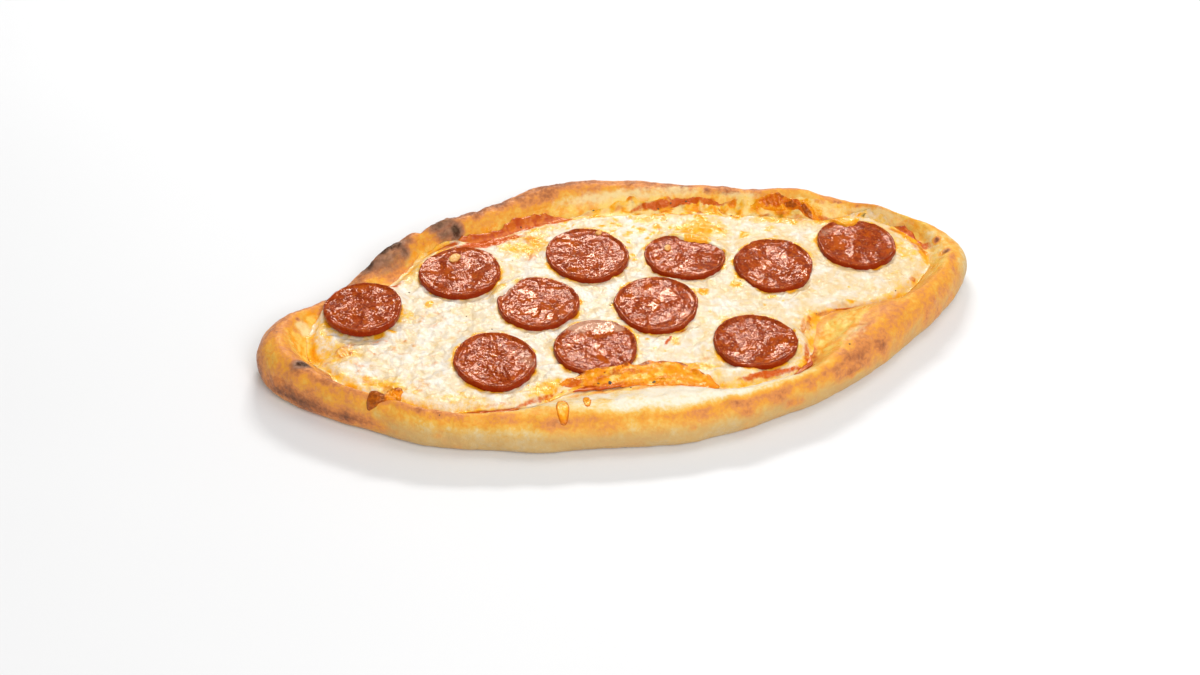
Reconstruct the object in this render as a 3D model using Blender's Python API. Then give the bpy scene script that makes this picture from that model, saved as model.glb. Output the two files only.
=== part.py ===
"""Peinirli: a boat of baked dough that holds tomato sauce, melted cheese and slices of cured sausage.

The long axis is X, and the near side, the one seen from the front, is -Y. The boat rests on its flat
bottom at Z = 0, with the origin under the middle of its plan.

The dough, the sauce and the cheese share one set of stations round the boat. A station is a direction
from the origin, and along it the dough's height follows one section: a flat well under the filling, a
slope up past the cheese's edge, a rounded crest and a rolled outer side. The sauce and the cheese lie
on that section too, so the layers stay parallel, and each slice lies in a pocket of the cheese.
"""

import math

import bmesh
import bpy
import numpy as np

MM = 0.001

# Plan of the boat, counter-clockwise from its right-hand tip: x and y in millimetres.
OUTLINE_MM = (
    (155, 0), (150.5, 15.5), (133, 30), (120, 42), (107, 52), (94, 58), (80, 61), (62, 67),
    (48, 72.5), (25, 80), (2, 84), (-9, 85), (-21, 83.5), (-34, 79.5), (-48, 74), (-66, 68),
    (-75, 62), (-87, 58), (-97, 51), (-111, 42), (-122, 30), (-142, 17), (-154, 3), (-155, -11),
    (-146, -27), (-131, -40), (-117, -50), (-106, -58), (-96, -64), (-85, -68), (-69, -73),
    (-56, -77), (-35, -80), (-16, -83), (4, -85), (16, -84), (30, -82), (47, -78), (69, -71),
    (82, -65), (96, -57), (112, -46), (130, -33), (147, -16),
)
# The edge of the melted cheese: x and y.
CHEESE_EDGE_MM = (
    (136, 4), (134, 17), (128, 27), (118, 35), (106, 36), (97, 37), (88, 40), (77, 44), (63, 47),
    (48, 53), (28, 56), (8, 59), (-12, 61), (-27, 59), (-42, 54), (-54, 52), (-66, 52), (-80, 44),
    (-91, 33), (-103, 26), (-117, 21), (-128, 11), (-132, -4), (-128, -20), (-119, -33),
    (-107, -42), (-92, -51), (-77, -56), (-58, -58), (-45, -55), (-35, -52), (-20, -52), (-4, -52),
    (9, -54), (19, -60), (29, -63.5), (43, -62), (56, -61), (64, -53), (68, -41), (73, -31),
    (82, -26), (93, -27), (108, -26), (118, -20), (127, -12), (133, -4),
)
# The crest of the rim: x and y of a place near it, and its height there.
CREST_MM = (
    (155, 0, 16), (135, 28, 16), (100, 55, 18), (45, 74, 18.5), (-9, 85, 20), (-50, 74, 19),
    (-80, 61, 19), (-98, 50, 17.5), (-112, 41, 12.5), (-124, 29, 11.2), (-140, 18, 15),
    (-155, -5, 20.5), (-131, -40, 19), (-95, -64, 17.5), (-35, -80, 17), (30, -82, 17), (75, -68, 17.5),
    (112, -46, 19), (145, -18, 18),
)
# Blisters, folds and hollows of the rim: middle, half length, half width, turn in degrees, rise.
RIM_FEATURES_MM = (
    ((-96, 45), 9, 7, 35, 2.6),
    ((-66, 56), 7, 9, 20, 2.4),
    ((-16, 74), 11, 6, 10, 1.2),
    ((84, 50), 10, 4.5, -4, 3.0),
    ((94, 43), 5, 7, -20, 2.6),
    ((-135, -7), 6, 6, 0, -3.5),
    ((-128, -24), 10, 4.5, -35, 2.0),
    ((-105, -45), 7, 4.5, -35, 1.6),
    ((-8, -57), 22, 5, -4, 1.6),
    ((84, -34), 14, 6, 10, 1.5),
    ((143, 8), 6, 5, 60, 1.2),
)
# Where the sauce runs out past the cheese: middle, how far past the edge, half length.
SAUCE_BANDS_MM = (
    ((-30, 58), 5.0, 17), ((-54, 52), 3.0, 9), ((45, 54), 5.0, 13), ((-18, -52), 3.5, 16),
    ((7, -54), 3.0, 10), ((-66, -58), 1.2, 12), ((133, 17), 1.5, 10), ((60, -58), 1.5, 8),
)

# The dough's section.
BOTTOM_INSET = 7 * MM
BULGE_HEIGHT = 6.5 * MM
WELL_HEIGHT = 5 * MM
WELL_SHARE = 0.85
FOOT_HEIGHT = 9.6 * MM
CREST_SHARE = 0.42
LARGEST_CREST_INSET = 11.5 * MM

# The sauce and the cheese.
LAYER_GAP = 0.3 * MM
SAUCE_THICKNESS = 0.8 * MM
SAUCE_MARGIN = 0.9 * MM
LARGEST_SAUCE_CLIMB = 0.42
CHEESE_EDGE_THICKNESS = 0.9 * MM
CHEESE_LEVEL = 12.2 * MM
CHEESE_EDGE_SHARE = 0.08
SWELL_HEIGHT = 0.3 * MM
SWELL_LENGTH = 46 * MM

# The slices: middle, width, depth, turn in degrees, flattened side in degrees, how far it is flattened.
SLICES_MM = (
    ((-109.5, 12), 33.5, 34, 0, 200, 0.6),
    ((-65.8, 29.7), 36, 34.5, 0, 250, 0.5),
    ((-9.5, 30.5), 36, 38, 20, 300, 0.6),
    ((31.5, 20.5), 35.5, 31, -18, 62, 1.6),
    ((67.5, 6.5), 35, 36.5, 0, 130, 0.4),
    ((108, 13.5), 34, 36, 10, 90, 0.8),
    ((-37.5, 2), 35.5, 34, 0, 215, 0.9),
    ((11, -9.5), 36, 36.5, 0, 320, 0.5),
    ((-62, -31), 33.5, 36, 0, 222, 1.3),
    ((-20.3, -31.5), 35, 34.5, 0, 262, 1.0),
    ((44.5, -41.5), 35, 34, 0, 20, 0.5),
)
SLICE_THICKNESS = 3 * MM
SLICE_SINK = 1.3 * MM
SLICE_RIM_WIDTH = 2.6 * MM
SLICE_RIM_HEIGHT = 0.5 * MM
SLICE_EDGE_ROUND = 0.6 * MM
SLICE_WAVES = ((2, 0.010), (3, 0.012), (5, 0.006))
FLAT_HALF_TURN = 0.55
POCKET_GAP = 0.45 * MM
POCKET_FLOOR = 0.25 * MM
POCKET_TOP = 30 * MM
# Seeds baked onto slices: number of the slice, middle, length, width and height.
SEEDS_MM = (
    (2, (-66.5, 38.5), 5.4, 3.6, 1.6),
    (3, (-1.5, 44), 2.8, 2.4, 1.6),
    (4, (25.5, 26.5), 3.6, 2.8, 1.5),
)

STATIONS = 100
SLICE_SIDES = 24
SEED_SEGMENTS = 8
SEED_RINGS = 5
SPAN_STEPS = 24
FINE_DIRECTIONS = 1440
SMOOTH_WITHIN = math.radians(50)

# Colour, roughness and metallic value of each material.
CRUST_FINISH = ((0.72, 0.42, 0.16), 0.62, 0.0)
SAUCE_FINISH = ((0.62, 0.10, 0.03), 0.35, 0.0)
CHEESE_FINISH = ((0.90, 0.78, 0.50), 0.40, 0.0)
SAUSAGE_FINISH = ((0.36, 0.07, 0.04), 0.38, 0.0)


def clear_scene():
    """Remove every object that the file opened with."""
    for thing in list(bpy.data.objects):
        bpy.data.objects.remove(thing, do_unlink=True)


def smooth_loop(points_mm):
    """Points along one smooth closed curve through the given points, in metres."""
    points = np.array(points_mm, float) * MM
    following = np.roll(points, -1, axis=0)
    span = np.linalg.norm(following - points, axis=1)[:, None]
    span_before = np.roll(span, 1, axis=0)
    slope_ahead = (following - points) / span
    slope_behind = np.roll(slope_ahead, 1, axis=0)
    slope = (slope_ahead * span_before + slope_behind * span) / (span + span_before)
    t = np.linspace(0, 1, SPAN_STEPS, endpoint=False)[None, :, None]
    curve = (
        (2 * t**3 - 3 * t**2 + 1) * points[:, None]
        + (t**3 - 2 * t**2 + t) * (slope * span)[:, None]
        + (3 * t**2 - 2 * t**3) * following[:, None]
        + (t**3 - t**2) * (np.roll(slope, -1, axis=0) * span)[:, None]
    )
    return curve.reshape(-1, points.shape[1])


def around(loop, values, angles):
    """The loop's value in each direction from the origin."""
    directions = np.arctan2(loop[:, 1], loop[:, 0])
    return np.interp(angles, directions, values, period=2 * math.pi)


def smooth_step(share):
    """A rise from 0 to 1 that starts and ends level."""
    share = np.clip(share, 0, 1)
    return share * share * (3 - 2 * share)


def plan_places(radii, angles):
    """Plan x and y of places given by distance and direction."""
    return np.stack([radii * np.cos(angles), radii * np.sin(angles)], axis=-1)


OUTLINE = smooth_loop(OUTLINE_MM)
CHEESE_EDGE = smooth_loop(CHEESE_EDGE_MM)
CREST = smooth_loop(CREST_MM)


def outline_radius(angles):
    """How far the widest part of the rim is from the origin."""
    return around(OUTLINE, np.hypot(*OUTLINE.T), angles)


def foot_radius(angles):
    """How far the cheese's edge, at the foot of the rim's slope, is from the origin."""
    return around(CHEESE_EDGE, np.hypot(*CHEESE_EDGE.T), angles)


def crest_radius(angles):
    """How far the rim's crest is from the origin."""
    outline = outline_radius(angles)
    inset = np.minimum(CREST_SHARE * (outline - foot_radius(angles)), LARGEST_CREST_INSET)
    return outline - inset


def sauce_radius(angles):
    """How far the sauce's edge is from the origin."""
    foot = foot_radius(angles)
    edge = plan_places(foot, angles)
    past = np.full(foot.shape, SAUCE_MARGIN)
    for middle, extra, half_length in SAUCE_BANDS_MM:
        away = np.linalg.norm(edge - np.array(middle) * MM, axis=-1) / (half_length * MM)
        past += extra * MM * np.exp(-(away**2))
    return foot + np.minimum(past, LARGEST_SAUCE_CLIMB * (crest_radius(angles) - foot))


def rim_relief(places):
    """Rise of the rim's blisters, folds and hollows at plan places."""
    relief = np.zeros(places.shape[:-1])
    for middle, half_length, half_width, turn, rise in RIM_FEATURES_MM:
        offset = places - np.array(middle) * MM
        cosine = math.cos(math.radians(turn))
        sine = math.sin(math.radians(turn))
        along = (offset[..., 0] * cosine + offset[..., 1] * sine) / (half_length * MM)
        across = (offset[..., 1] * cosine - offset[..., 0] * sine) / (half_width * MM)
        relief += rise * MM * np.exp(-(along**2) - across**2)
    return relief


def dough_height(radii, angles):
    """Height of the dough's upper surface at places given by distance and direction."""
    foot = foot_radius(angles)
    crest = crest_radius(angles)
    outline = outline_radius(angles)
    crest_height = around(CREST, CREST[:, 2], angles)
    well_rise = smooth_step((radii / foot - WELL_SHARE) / (1 - WELL_SHARE))
    well = WELL_HEIGHT + (FOOT_HEIGHT - WELL_HEIGHT) * well_rise
    climb = np.clip((radii - foot) / (crest - foot), 0, 1)
    slope = FOOT_HEIGHT + (crest_height - FOOT_HEIGHT) * (1 - np.cos(math.pi * climb)) / 2
    fall = np.sqrt(1 - np.clip((radii - crest) / (outline - crest), 0, 1) ** 2)
    side = BULGE_HEIGHT + (crest_height - BULGE_HEIGHT) * fall
    height = np.where(radii < foot, well, np.where(radii < crest, slope, side))
    return height + rim_relief(plan_places(radii, angles)) * well_rise * fall


def cheese_height(radii, angles):
    """Height of the cheese's upper surface, before the slices sink into it."""
    places = plan_places(radii, angles)
    wave_x = np.sin(2 * math.pi * places[..., 0] / SWELL_LENGTH + 0.7)
    wave_y = np.cos(2 * math.pi * places[..., 1] / SWELL_LENGTH - 0.4)
    level = CHEESE_LEVEL + SWELL_HEIGHT * wave_x * wave_y
    edge = under_cheese(foot_radius(angles), angles) + CHEESE_EDGE_THICKNESS
    inward = smooth_step((1 - radii / foot_radius(angles)) / CHEESE_EDGE_SHARE)
    return edge + (level - edge) * inward


def over_sauce(radii, angles):
    """Height of the sauce's upper surface."""
    return dough_height(radii, angles) + LAYER_GAP + SAUCE_THICKNESS


def under_cheese(radii, angles):
    """Height of the cheese's lower surface."""
    return over_sauce(radii, angles) + LAYER_GAP


def station_angles():
    """Directions of the stations, evenly spaced along a line halfway across the rim."""
    fine = np.linspace(-math.pi, math.pi, FINE_DIRECTIONS + 1)
    halfway = plan_places((outline_radius(fine) + foot_radius(fine)) / 2, fine)
    along = np.concatenate([[0], np.cumsum(np.linalg.norm(np.diff(halfway, axis=0), axis=1))])
    return np.interp(np.arange(STATIONS) / STATIONS * along[-1], along, fine)


def ring(radii, angles, heights):
    """One ring of points round the boat."""
    return np.column_stack([plan_places(radii, angles), heights])


def closed_shell(name, rings, material):
    """A closed body whose skin runs through the rings, from the bottom's flat cap to the top's.

    Each quad is split from its corner on the wider ring, so layers over each other are split alike.
    """
    mesh = bmesh.new()
    loops = [[mesh.verts.new(point) for point in points] for points in rings]
    mesh.faces.new(reversed(loops[0]))
    for lower, upper in zip(loops, loops[1:]):
        widens = upper[0].co.xy.length > lower[0].co.xy.length
        for i, start in enumerate(lower):
            j = (i + 1) % len(lower)
            corners = (start, lower[j], upper[j], upper[i])
            first = 1 if widens else 0
            mesh.faces.new([corners[k] for k in ((0, 1, 3) if widens else (0, 1, 2))])
            mesh.faces.new([corners[k] for k in (first, 2, 3)])
    mesh.faces.new(loops[-1])
    return add_object(name, mesh, material)


def add_object(name, mesh, material):
    """A smooth-shaded object in the scene, from a bmesh that it uses up."""
    data = bpy.data.meshes.new(name)
    mesh.to_mesh(data)
    mesh.free()
    data.materials.append(material)
    data.shade_smooth()
    data.set_sharp_from_angle(angle=SMOOTH_WITHIN)
    thing = bpy.data.objects.new(name, data)
    bpy.context.scene.collection.objects.link(thing)
    return thing


def make_material(name, finish):
    """A plain material with the given colour, roughness and metallic value."""
    colour, roughness, metallic = finish
    material = bpy.data.materials.new(name)
    material.use_nodes = True
    shader = material.node_tree.nodes["Principled BSDF"]
    shader.inputs["Base Color"].default_value = (*colour, 1)
    shader.inputs["Roughness"].default_value = roughness
    shader.inputs["Metallic"].default_value = metallic
    return material


def build_crust(angles):
    """The dough boat, from its bottom round its outer side, over the crest and down to the well."""
    outline = outline_radius(angles)
    foot = foot_radius(angles)
    crest = crest_radius(angles)
    rings = []
    for turn in np.radians((0, 45, 90)):
        radii = outline - BOTTOM_INSET * (1 - math.sin(turn))
        rings.append(ring(radii, angles, np.full(STATIONS, BULGE_HEIGHT * (1 - math.cos(turn)))))
    for turn in np.radians((60, 30, 0)):
        radii = crest + (outline - crest) * math.sin(turn)
        rings.append(ring(radii, angles, dough_height(radii, angles)))
    slope = [foot + (crest - foot) * share for share in (0.75, 0.5)]
    for radii in [*slope, sauce_radius(angles), *well_radii(foot)]:
        rings.append(ring(radii, angles, dough_height(radii, angles)))
    return closed_shell("crust", rings, make_material("crust", CRUST_FINISH))


def well_radii(foot):
    """Radii of the rings that the layers share, from the cheese's edge in to the flat of the well."""
    return [foot * share for share in np.linspace(1, WELL_SHARE, 4)]


def build_sauce(angles):
    """The layer of sauce, parallel to the dough under it."""
    radii = [sauce_radius(angles), *well_radii(foot_radius(angles))]
    lower = [ring(r, angles, dough_height(r, angles) + LAYER_GAP) for r in reversed(radii)]
    upper = [ring(r, angles, over_sauce(r, angles)) for r in radii]
    return closed_shell("sauce", [*lower, *upper], make_material("sauce", SAUCE_FINISH))


def build_cheese(angles, pockets):
    """The sheet of melted cheese, with a pocket for each slice."""
    foot = foot_radius(angles)
    lower = [ring(r, angles, under_cheese(r, angles)) for r in reversed(well_radii(foot))]
    upper = [
        ring(foot * share, angles, cheese_height(foot * share, angles))
        for share in (1, 0.97, 1 - CHEESE_EDGE_SHARE, 0.72, 0.48, 0.24, 0.05)
    ]
    cheese = closed_shell("cheese", [*lower, *upper], make_material("cheese", CHEESE_FINISH))
    cut = cheese.modifiers.new("pockets", "BOOLEAN")
    cut.operation = "DIFFERENCE"
    cut.operand_type = "COLLECTION"
    cut.collection = pockets
    cut.solver = "EXACT"
    return cheese


def slice_outline(entry, grow=0.0, sides=SLICE_SIDES):
    """Plan points round a slice: an oval with gentle waves and one flattened side."""
    middle, width, depth, turn, flat_side, flat_depth = entry
    rounds = np.arange(sides) / sides * 2 * math.pi
    waves = sum(size * np.cos(count * rounds + middle[0]) for count, size in SLICE_WAVES)
    from_flat = (rounds + math.radians(turn - flat_side) + math.pi) % (2 * math.pi) - math.pi
    flat = flat_depth * MM * np.exp(-((from_flat / FLAT_HALF_TURN) ** 2))
    local = np.column_stack([width * np.cos(rounds), depth * np.sin(rounds)]) * MM / 2
    reach = np.linalg.norm(local, axis=1)
    local *= (1 + waves - flat / reach + grow / reach)[:, None]
    cosine = math.cos(math.radians(turn))
    sine = math.sin(math.radians(turn))
    return local @ np.array([[cosine, sine], [-sine, cosine]]) + np.array(middle) * MM


def least_slice_height(places):
    """The lowest that a slice's underside may lie over plan places."""
    radii = np.linalg.norm(places, axis=1)
    angles = np.arctan2(places[:, 1], places[:, 0])
    over_cheese_floor = under_cheese(radii, angles) + POCKET_FLOOR + LAYER_GAP
    over_sauce_edge = over_sauce(radii, angles) + LAYER_GAP
    over_dough = dough_height(radii, angles) + LAYER_GAP
    on_sauce = np.where(radii < sauce_radius(angles) + LAYER_GAP, over_sauce_edge, over_dough)
    return np.where(radii < foot_radius(angles) + LAYER_GAP, over_cheese_floor, on_sauce)


def slice_plane(entry):
    """The underside of a slice that lies on the cheese and the rim: height at the origin, two slopes."""
    middle = np.array(entry[0]) * MM
    edge = slice_outline(entry)
    places = np.concatenate([middle + (edge - middle) * share for share in (0.35, 0.7, 1)])
    radii = np.linalg.norm(places, axis=1)
    angles = np.arctan2(places[:, 1], places[:, 0])
    on_cheese = radii < foot_radius(angles)
    bed = np.where(on_cheese, cheese_height(radii, angles), dough_height(radii, angles))
    terms = np.column_stack([np.ones(len(places)), places])
    plane = np.linalg.lstsq(terms, bed - SLICE_SINK, rcond=None)[0]
    plane[0] += max(0, (least_slice_height(places) - terms @ plane).max())
    return plane


def on_plane(places, plane, above=0.0):
    """Plan places lifted onto a plane, or to a distance above it."""
    return np.column_stack([places, plane[0] + places @ plane[1:] + above])


def build_slice(number, entry, material):
    """One slice of sausage, with rounded edges and a rim that curled up a little as it baked."""
    plane = slice_plane(entry)
    steps = (
        (-SLICE_EDGE_ROUND, 0),
        (0, SLICE_EDGE_ROUND),
        (0, SLICE_THICKNESS - SLICE_EDGE_ROUND),
        (-SLICE_EDGE_ROUND, SLICE_THICKNESS),
        (-SLICE_RIM_WIDTH, SLICE_THICKNESS - SLICE_RIM_HEIGHT),
    )
    rings = [on_plane(slice_outline(entry, grow), plane, above) for grow, above in steps]
    return closed_shell(f"sausage_slice_{number:02d}", rings, material)


def build_pocket(number, entry, material):
    """The cutter that clears a pocket for one slice."""
    plane = slice_plane(entry)
    edge = slice_outline(entry, POCKET_GAP)
    floor = on_plane(edge, plane, -LAYER_GAP)
    top = np.column_stack([edge, np.full(len(edge), POCKET_TOP)])
    cutter = closed_shell(f"pocket_{number:02d}", [floor, top], material)
    cutter.display_type = "WIRE"
    cutter.hide_render = True
    return cutter


def build_seed(seed, slices, material):
    """One seed, half sunk in the top of its slice."""
    number, middle, length, width, height = seed
    place = np.array([middle]) * MM
    above = SLICE_THICKNESS - SLICE_RIM_HEIGHT
    centre = on_plane(place, slice_plane(SLICES_MM[number - 1]), above)[0]
    mesh = bmesh.new()
    bmesh.ops.create_uvsphere(mesh, u_segments=SEED_SEGMENTS, v_segments=SEED_RINGS, radius=0.5)
    bmesh.ops.scale(mesh, vec=np.array((length, width, 2 * height)) * MM, verts=mesh.verts)
    bmesh.ops.translate(mesh, vec=centre, verts=mesh.verts)
    return slices[number - 1], add_object("seed", mesh, material)


def fuse(body, piece):
    """Join a piece to a body with a Boolean union, and remove the piece."""
    union = body.modifiers.new("fused", "BOOLEAN")
    union.operation = "UNION"
    union.solver = "EXACT"
    union.object = piece
    bpy.context.view_layer.update()
    evaluated = body.evaluated_get(bpy.context.evaluated_depsgraph_get())
    joined = bpy.data.meshes.new_from_object(evaluated)
    body.modifiers.remove(union)
    body.data = joined
    bpy.data.objects.remove(piece, do_unlink=True)


def main():
    """Build the whole peinirli."""
    clear_scene()
    angles = station_angles()
    sausage = make_material("sausage", SAUSAGE_FINISH)
    pockets = bpy.data.collections.new("pockets")
    bpy.context.scene.collection.children.link(pockets)
    slices = []
    for number, entry in enumerate(SLICES_MM, 1):
        slices.append(build_slice(number, entry, sausage))
        cutter = build_pocket(number, entry, sausage)
        bpy.context.scene.collection.objects.unlink(cutter)
        pockets.objects.link(cutter)
    for seed in SEEDS_MM:
        body, piece = build_seed(seed, slices, sausage)
        fuse(body, piece)
    build_crust(angles)
    build_sauce(angles)
    build_cheese(angles, pockets)


main()
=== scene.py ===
"""Peinirli, dressed for its picture: a boat of baked dough with tomato sauce, melted cheese and sausage.

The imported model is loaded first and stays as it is. Each of its nodes is then replaced by a finely
shaped piece of the same form: the dough boat, the sauce, the cheese and the eleven slices.

Plans, heights and marks are in millimetres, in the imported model's frame. Bench.move turns them into
metres. Each piece is a closed shell: turns say how far round it a point is, and rises how far up from its
lower pole to its upper, both from 0 to 1.
"""

import logging
import math
from dataclasses import dataclass
from enum import Enum
from functools import cache
from typing import Sequence

import bpy
import numpy as np
from mathutils import Matrix, Vector
from mathutils.bvhtree import BVHTree


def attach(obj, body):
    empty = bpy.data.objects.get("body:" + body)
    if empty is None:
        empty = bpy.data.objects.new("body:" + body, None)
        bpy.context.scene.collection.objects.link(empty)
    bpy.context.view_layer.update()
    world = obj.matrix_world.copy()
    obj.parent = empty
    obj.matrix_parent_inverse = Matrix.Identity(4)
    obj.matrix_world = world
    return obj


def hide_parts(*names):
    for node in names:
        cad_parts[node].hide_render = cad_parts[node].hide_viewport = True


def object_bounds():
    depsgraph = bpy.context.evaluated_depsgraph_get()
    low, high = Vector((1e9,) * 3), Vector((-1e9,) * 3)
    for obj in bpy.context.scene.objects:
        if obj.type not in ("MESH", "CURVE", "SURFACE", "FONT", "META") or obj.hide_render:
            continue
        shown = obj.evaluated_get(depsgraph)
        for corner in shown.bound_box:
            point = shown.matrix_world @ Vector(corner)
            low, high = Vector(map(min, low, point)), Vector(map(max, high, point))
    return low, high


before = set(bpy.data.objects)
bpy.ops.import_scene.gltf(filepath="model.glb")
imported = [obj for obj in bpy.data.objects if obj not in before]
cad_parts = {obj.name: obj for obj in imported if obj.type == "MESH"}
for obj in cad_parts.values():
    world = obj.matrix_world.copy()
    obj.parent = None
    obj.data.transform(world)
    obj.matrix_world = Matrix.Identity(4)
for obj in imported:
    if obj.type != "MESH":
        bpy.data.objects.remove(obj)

Array = np.ndarray
Thing = bpy.types.Object
Socket = bpy.types.NodeSocket
Table = Sequence[Sequence[float]]
Colour = tuple[float, float, float]

log = logging.getLogger("peinirli")
CAD_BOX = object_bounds()
MM = 0.001
FULL_TURN = 2 * math.pi
# Points on a loop whose length is measured.
LOOP_STEPS = 1441
# What keeps a share from reaching the last cell or the very end of a run.
JUST_UNDER = 0.001


# -------- Curves, noise and marks --------


def smooth_loop(points: Table, steps: int = 24) -> Array:
    """Run one smooth closed curve through points of any number of values.

    Args:
        points: The points in order round the loop.
        steps: How many points each span is split into.

    Returns:
        The curve's points.
    """
    here = np.array(points, float)
    ahead = np.roll(here, -1, axis=0)
    span = np.linalg.norm(ahead - here, axis=1)[:, None]
    span_before = np.roll(span, 1, axis=0)
    slope_ahead = (ahead - here) / span
    slope_behind = np.roll(slope_ahead, 1, axis=0)
    slope = (slope_ahead * span_before + slope_behind * span) / (span + span_before)
    t = np.linspace(0, 1, steps, endpoint=False)[None, :, None]
    curve = (
        (2 * t**3 - 3 * t**2 + 1) * here[:, None]
        + (t**3 - 2 * t**2 + t) * (slope * span)[:, None]
        + (3 * t**2 - 2 * t**3) * ahead[:, None]
        + (t**3 - t**2) * (np.roll(slope, -1, axis=0) * span)[:, None]
    )
    return curve.reshape(-1, here.shape[1])


def around(loop: Array, values: Array, angles: Array) -> Array:
    """Read a loop's values in the given directions from the origin."""
    return np.interp(angles, np.arctan2(loop[:, 1], loop[:, 0]), values, period=FULL_TURN)


def places(radii: Array | float, angles: Array) -> Array:
    """Plan places at distances and directions from the origin."""
    return np.column_stack([radii * np.cos(angles), radii * np.sin(angles)])


def polar(flat: Array) -> tuple[Array, Array]:
    """Distances and directions of plan places from the origin."""
    return np.hypot(flat[:, 0], flat[:, 1]), np.arctan2(flat[:, 1], flat[:, 0])


def at_height(flat: Array, height: Array | float = 0.0) -> Array:
    """Plan places with a height added."""
    return np.column_stack([flat, np.broadcast_to(height, len(flat))])


def on_ring(angles: Array, radius: float, height: float) -> Array:
    """Places on a level ring, on which noise runs round without a seam."""
    return at_height(places(radius, angles), height)


def run_lengths(points: Array) -> Array:
    """How far along a line each of its points is."""
    return np.concatenate([[0], np.cumsum(np.linalg.norm(np.diff(points, axis=0), axis=1))])


def smooth_step(share: Array) -> Array:
    """Rise from 0 to 1, level at both ends."""
    share = np.clip(share, 0, 1)
    return share * share * (3 - 2 * share)


def gradient_noise(spots: Array, seed: float) -> Array:
    """Smooth noise between about -1 and 1, whose lumps are one unit wide.

    Args:
        spots: Places, in lumps.
        seed: Picks another pattern.

    Returns:
        The noise at each place.
    """
    draw = np.random.default_rng(int(1000 * seed) + 17)
    order = draw.permutation(256)
    leans = draw.normal(size=(256, 3))
    leans /= np.linalg.norm(leans, axis=1)[:, None]
    cell = np.floor(spots).astype(int)
    inside = spots - cell
    ease = inside**3 * (inside * (inside * 6 - 15) + 10)
    total = np.zeros(len(spots))
    for corner in np.ndindex(2, 2, 2):
        x, y, z = (cell + corner).T
        pick = order[(order[(order[x & 255] + y) & 255] + z) & 255]
        weight = np.where(corner, ease, 1 - ease).prod(axis=1)
        total += weight * ((inside - corner) * leans[pick]).sum(axis=1)
    return 1.5 * total


def clouds(points: Array, size: float, seed: float, octaves: int = 3) -> Array:
    """Soft lumps with finer ones on them, between about -1 and 1.

    Args:
        points: Places in millimetres.
        size: Width of the largest lumps.
        seed: Picks another pattern.
        octaves: How many finer layers are added.

    Returns:
        The noise at each place.
    """
    total = np.zeros(len(points))
    for octave in range(octaves):
        total += gradient_noise(points * 2**octave / size, seed + 0.1 * octave) / 2**octave
    return total


def grains(points: Array, size: float, seed: float) -> Array:
    """How far each place is from the middle of the grain that it lies in.

    Args:
        points: Places in millimetres.
        size: Width of a grain.
        seed: Picks another pattern.

    Returns:
        The distances, in grains.
    """
    draw = np.random.default_rng(int(1000 * seed) + 29)
    order, shifts = draw.permutation(256), draw.random((256, 3))
    cell = np.floor(points / size).astype(int)
    nearest = np.full(len(points), 9.0)
    for corner in np.ndindex(3, 3, 3):
        home = cell + np.array(corner) - 1
        pick = order[(order[(order[home[:, 0] & 255] + home[:, 1]) & 255] + home[:, 2]) & 255]
        away = np.linalg.norm(home + shifts[pick] - points / size, axis=1)
        nearest = np.minimum(nearest, away)
    return nearest


def mark_shares(points: Array, mark: Sequence[float]) -> Array:
    """How far places are from a mark's middle, as shares of its size.

    Args:
        points: Places in millimetres, either plan places or with a height.
        mark: Its middle, as the places have it, half length, half width, turn in degrees, and strength.

    Returns:
        The distances, 1 on the mark's outline.
    """
    count = points.shape[1]
    offset = points - np.array(mark[:count])
    along, across, turn = mark[count : count + 3]
    cosine, sine = math.cos(math.radians(turn)), math.sin(math.radians(turn))
    lengthwise = (offset[:, 0] * cosine + offset[:, 1] * sine) / along
    crosswise = (offset[:, 1] * cosine - offset[:, 0] * sine) / across
    return np.sqrt(lengthwise**2 + crosswise**2 + ((offset[:, 2:] / across) ** 2).sum(axis=1))


def spread(points: Array, marks: Table, ragged: Array | float = 0.0, soft: float = 1.0) -> Array:
    """The strongest of the marks at each place.

    Args:
        points: Places in millimetres.
        marks: The marks, as mark_shares reads them.
        ragged: Shifts the marks' outlines in and out.
        soft: Width of the outlines, as a share of the marks' size.

    Returns:
        The marks' strength at each place.
    """
    total = np.zeros(len(points))
    for mark in marks:
        shares = mark_shares(points, mark) + ragged
        total = np.maximum(total, mark[-1] * smooth_step((1 - shares) / soft + 0.5))
    return total


def raised(points: Array, marks: Table) -> Array:
    """The sum of soft swellings, one for each mark, whose strengths are heights in millimetres.

    Args:
        points: Places in millimetres.
        marks: The marks.

    Returns:
        The height at each place.
    """
    total = np.zeros(len(points))
    for mark in marks:
        total += mark[-1] * np.exp(-(mark_shares(points, mark) ** 2))
    return total


def domes(points: Array, bubbles: Table) -> Array:
    """Round bubbles that stand up sharply from their foot.

    Args:
        points: Places in millimetres.
        bubbles: Middle x, y and z, radius and height of each.

    Returns:
        The height at each place.
    """
    total = np.zeros(len(points))
    for x, y, z, radius, height in bubbles:
        near = np.where(np.abs(points[:, 0] - x) < radius)[0]
        share = np.linalg.norm(points[near] - (x, y, z), axis=1) / radius
        total[near] = np.maximum(total[near], height * np.sqrt(np.clip(1 - share**2, 0, 1)))
    return total


# -------- The boat's plan and section --------


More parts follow.
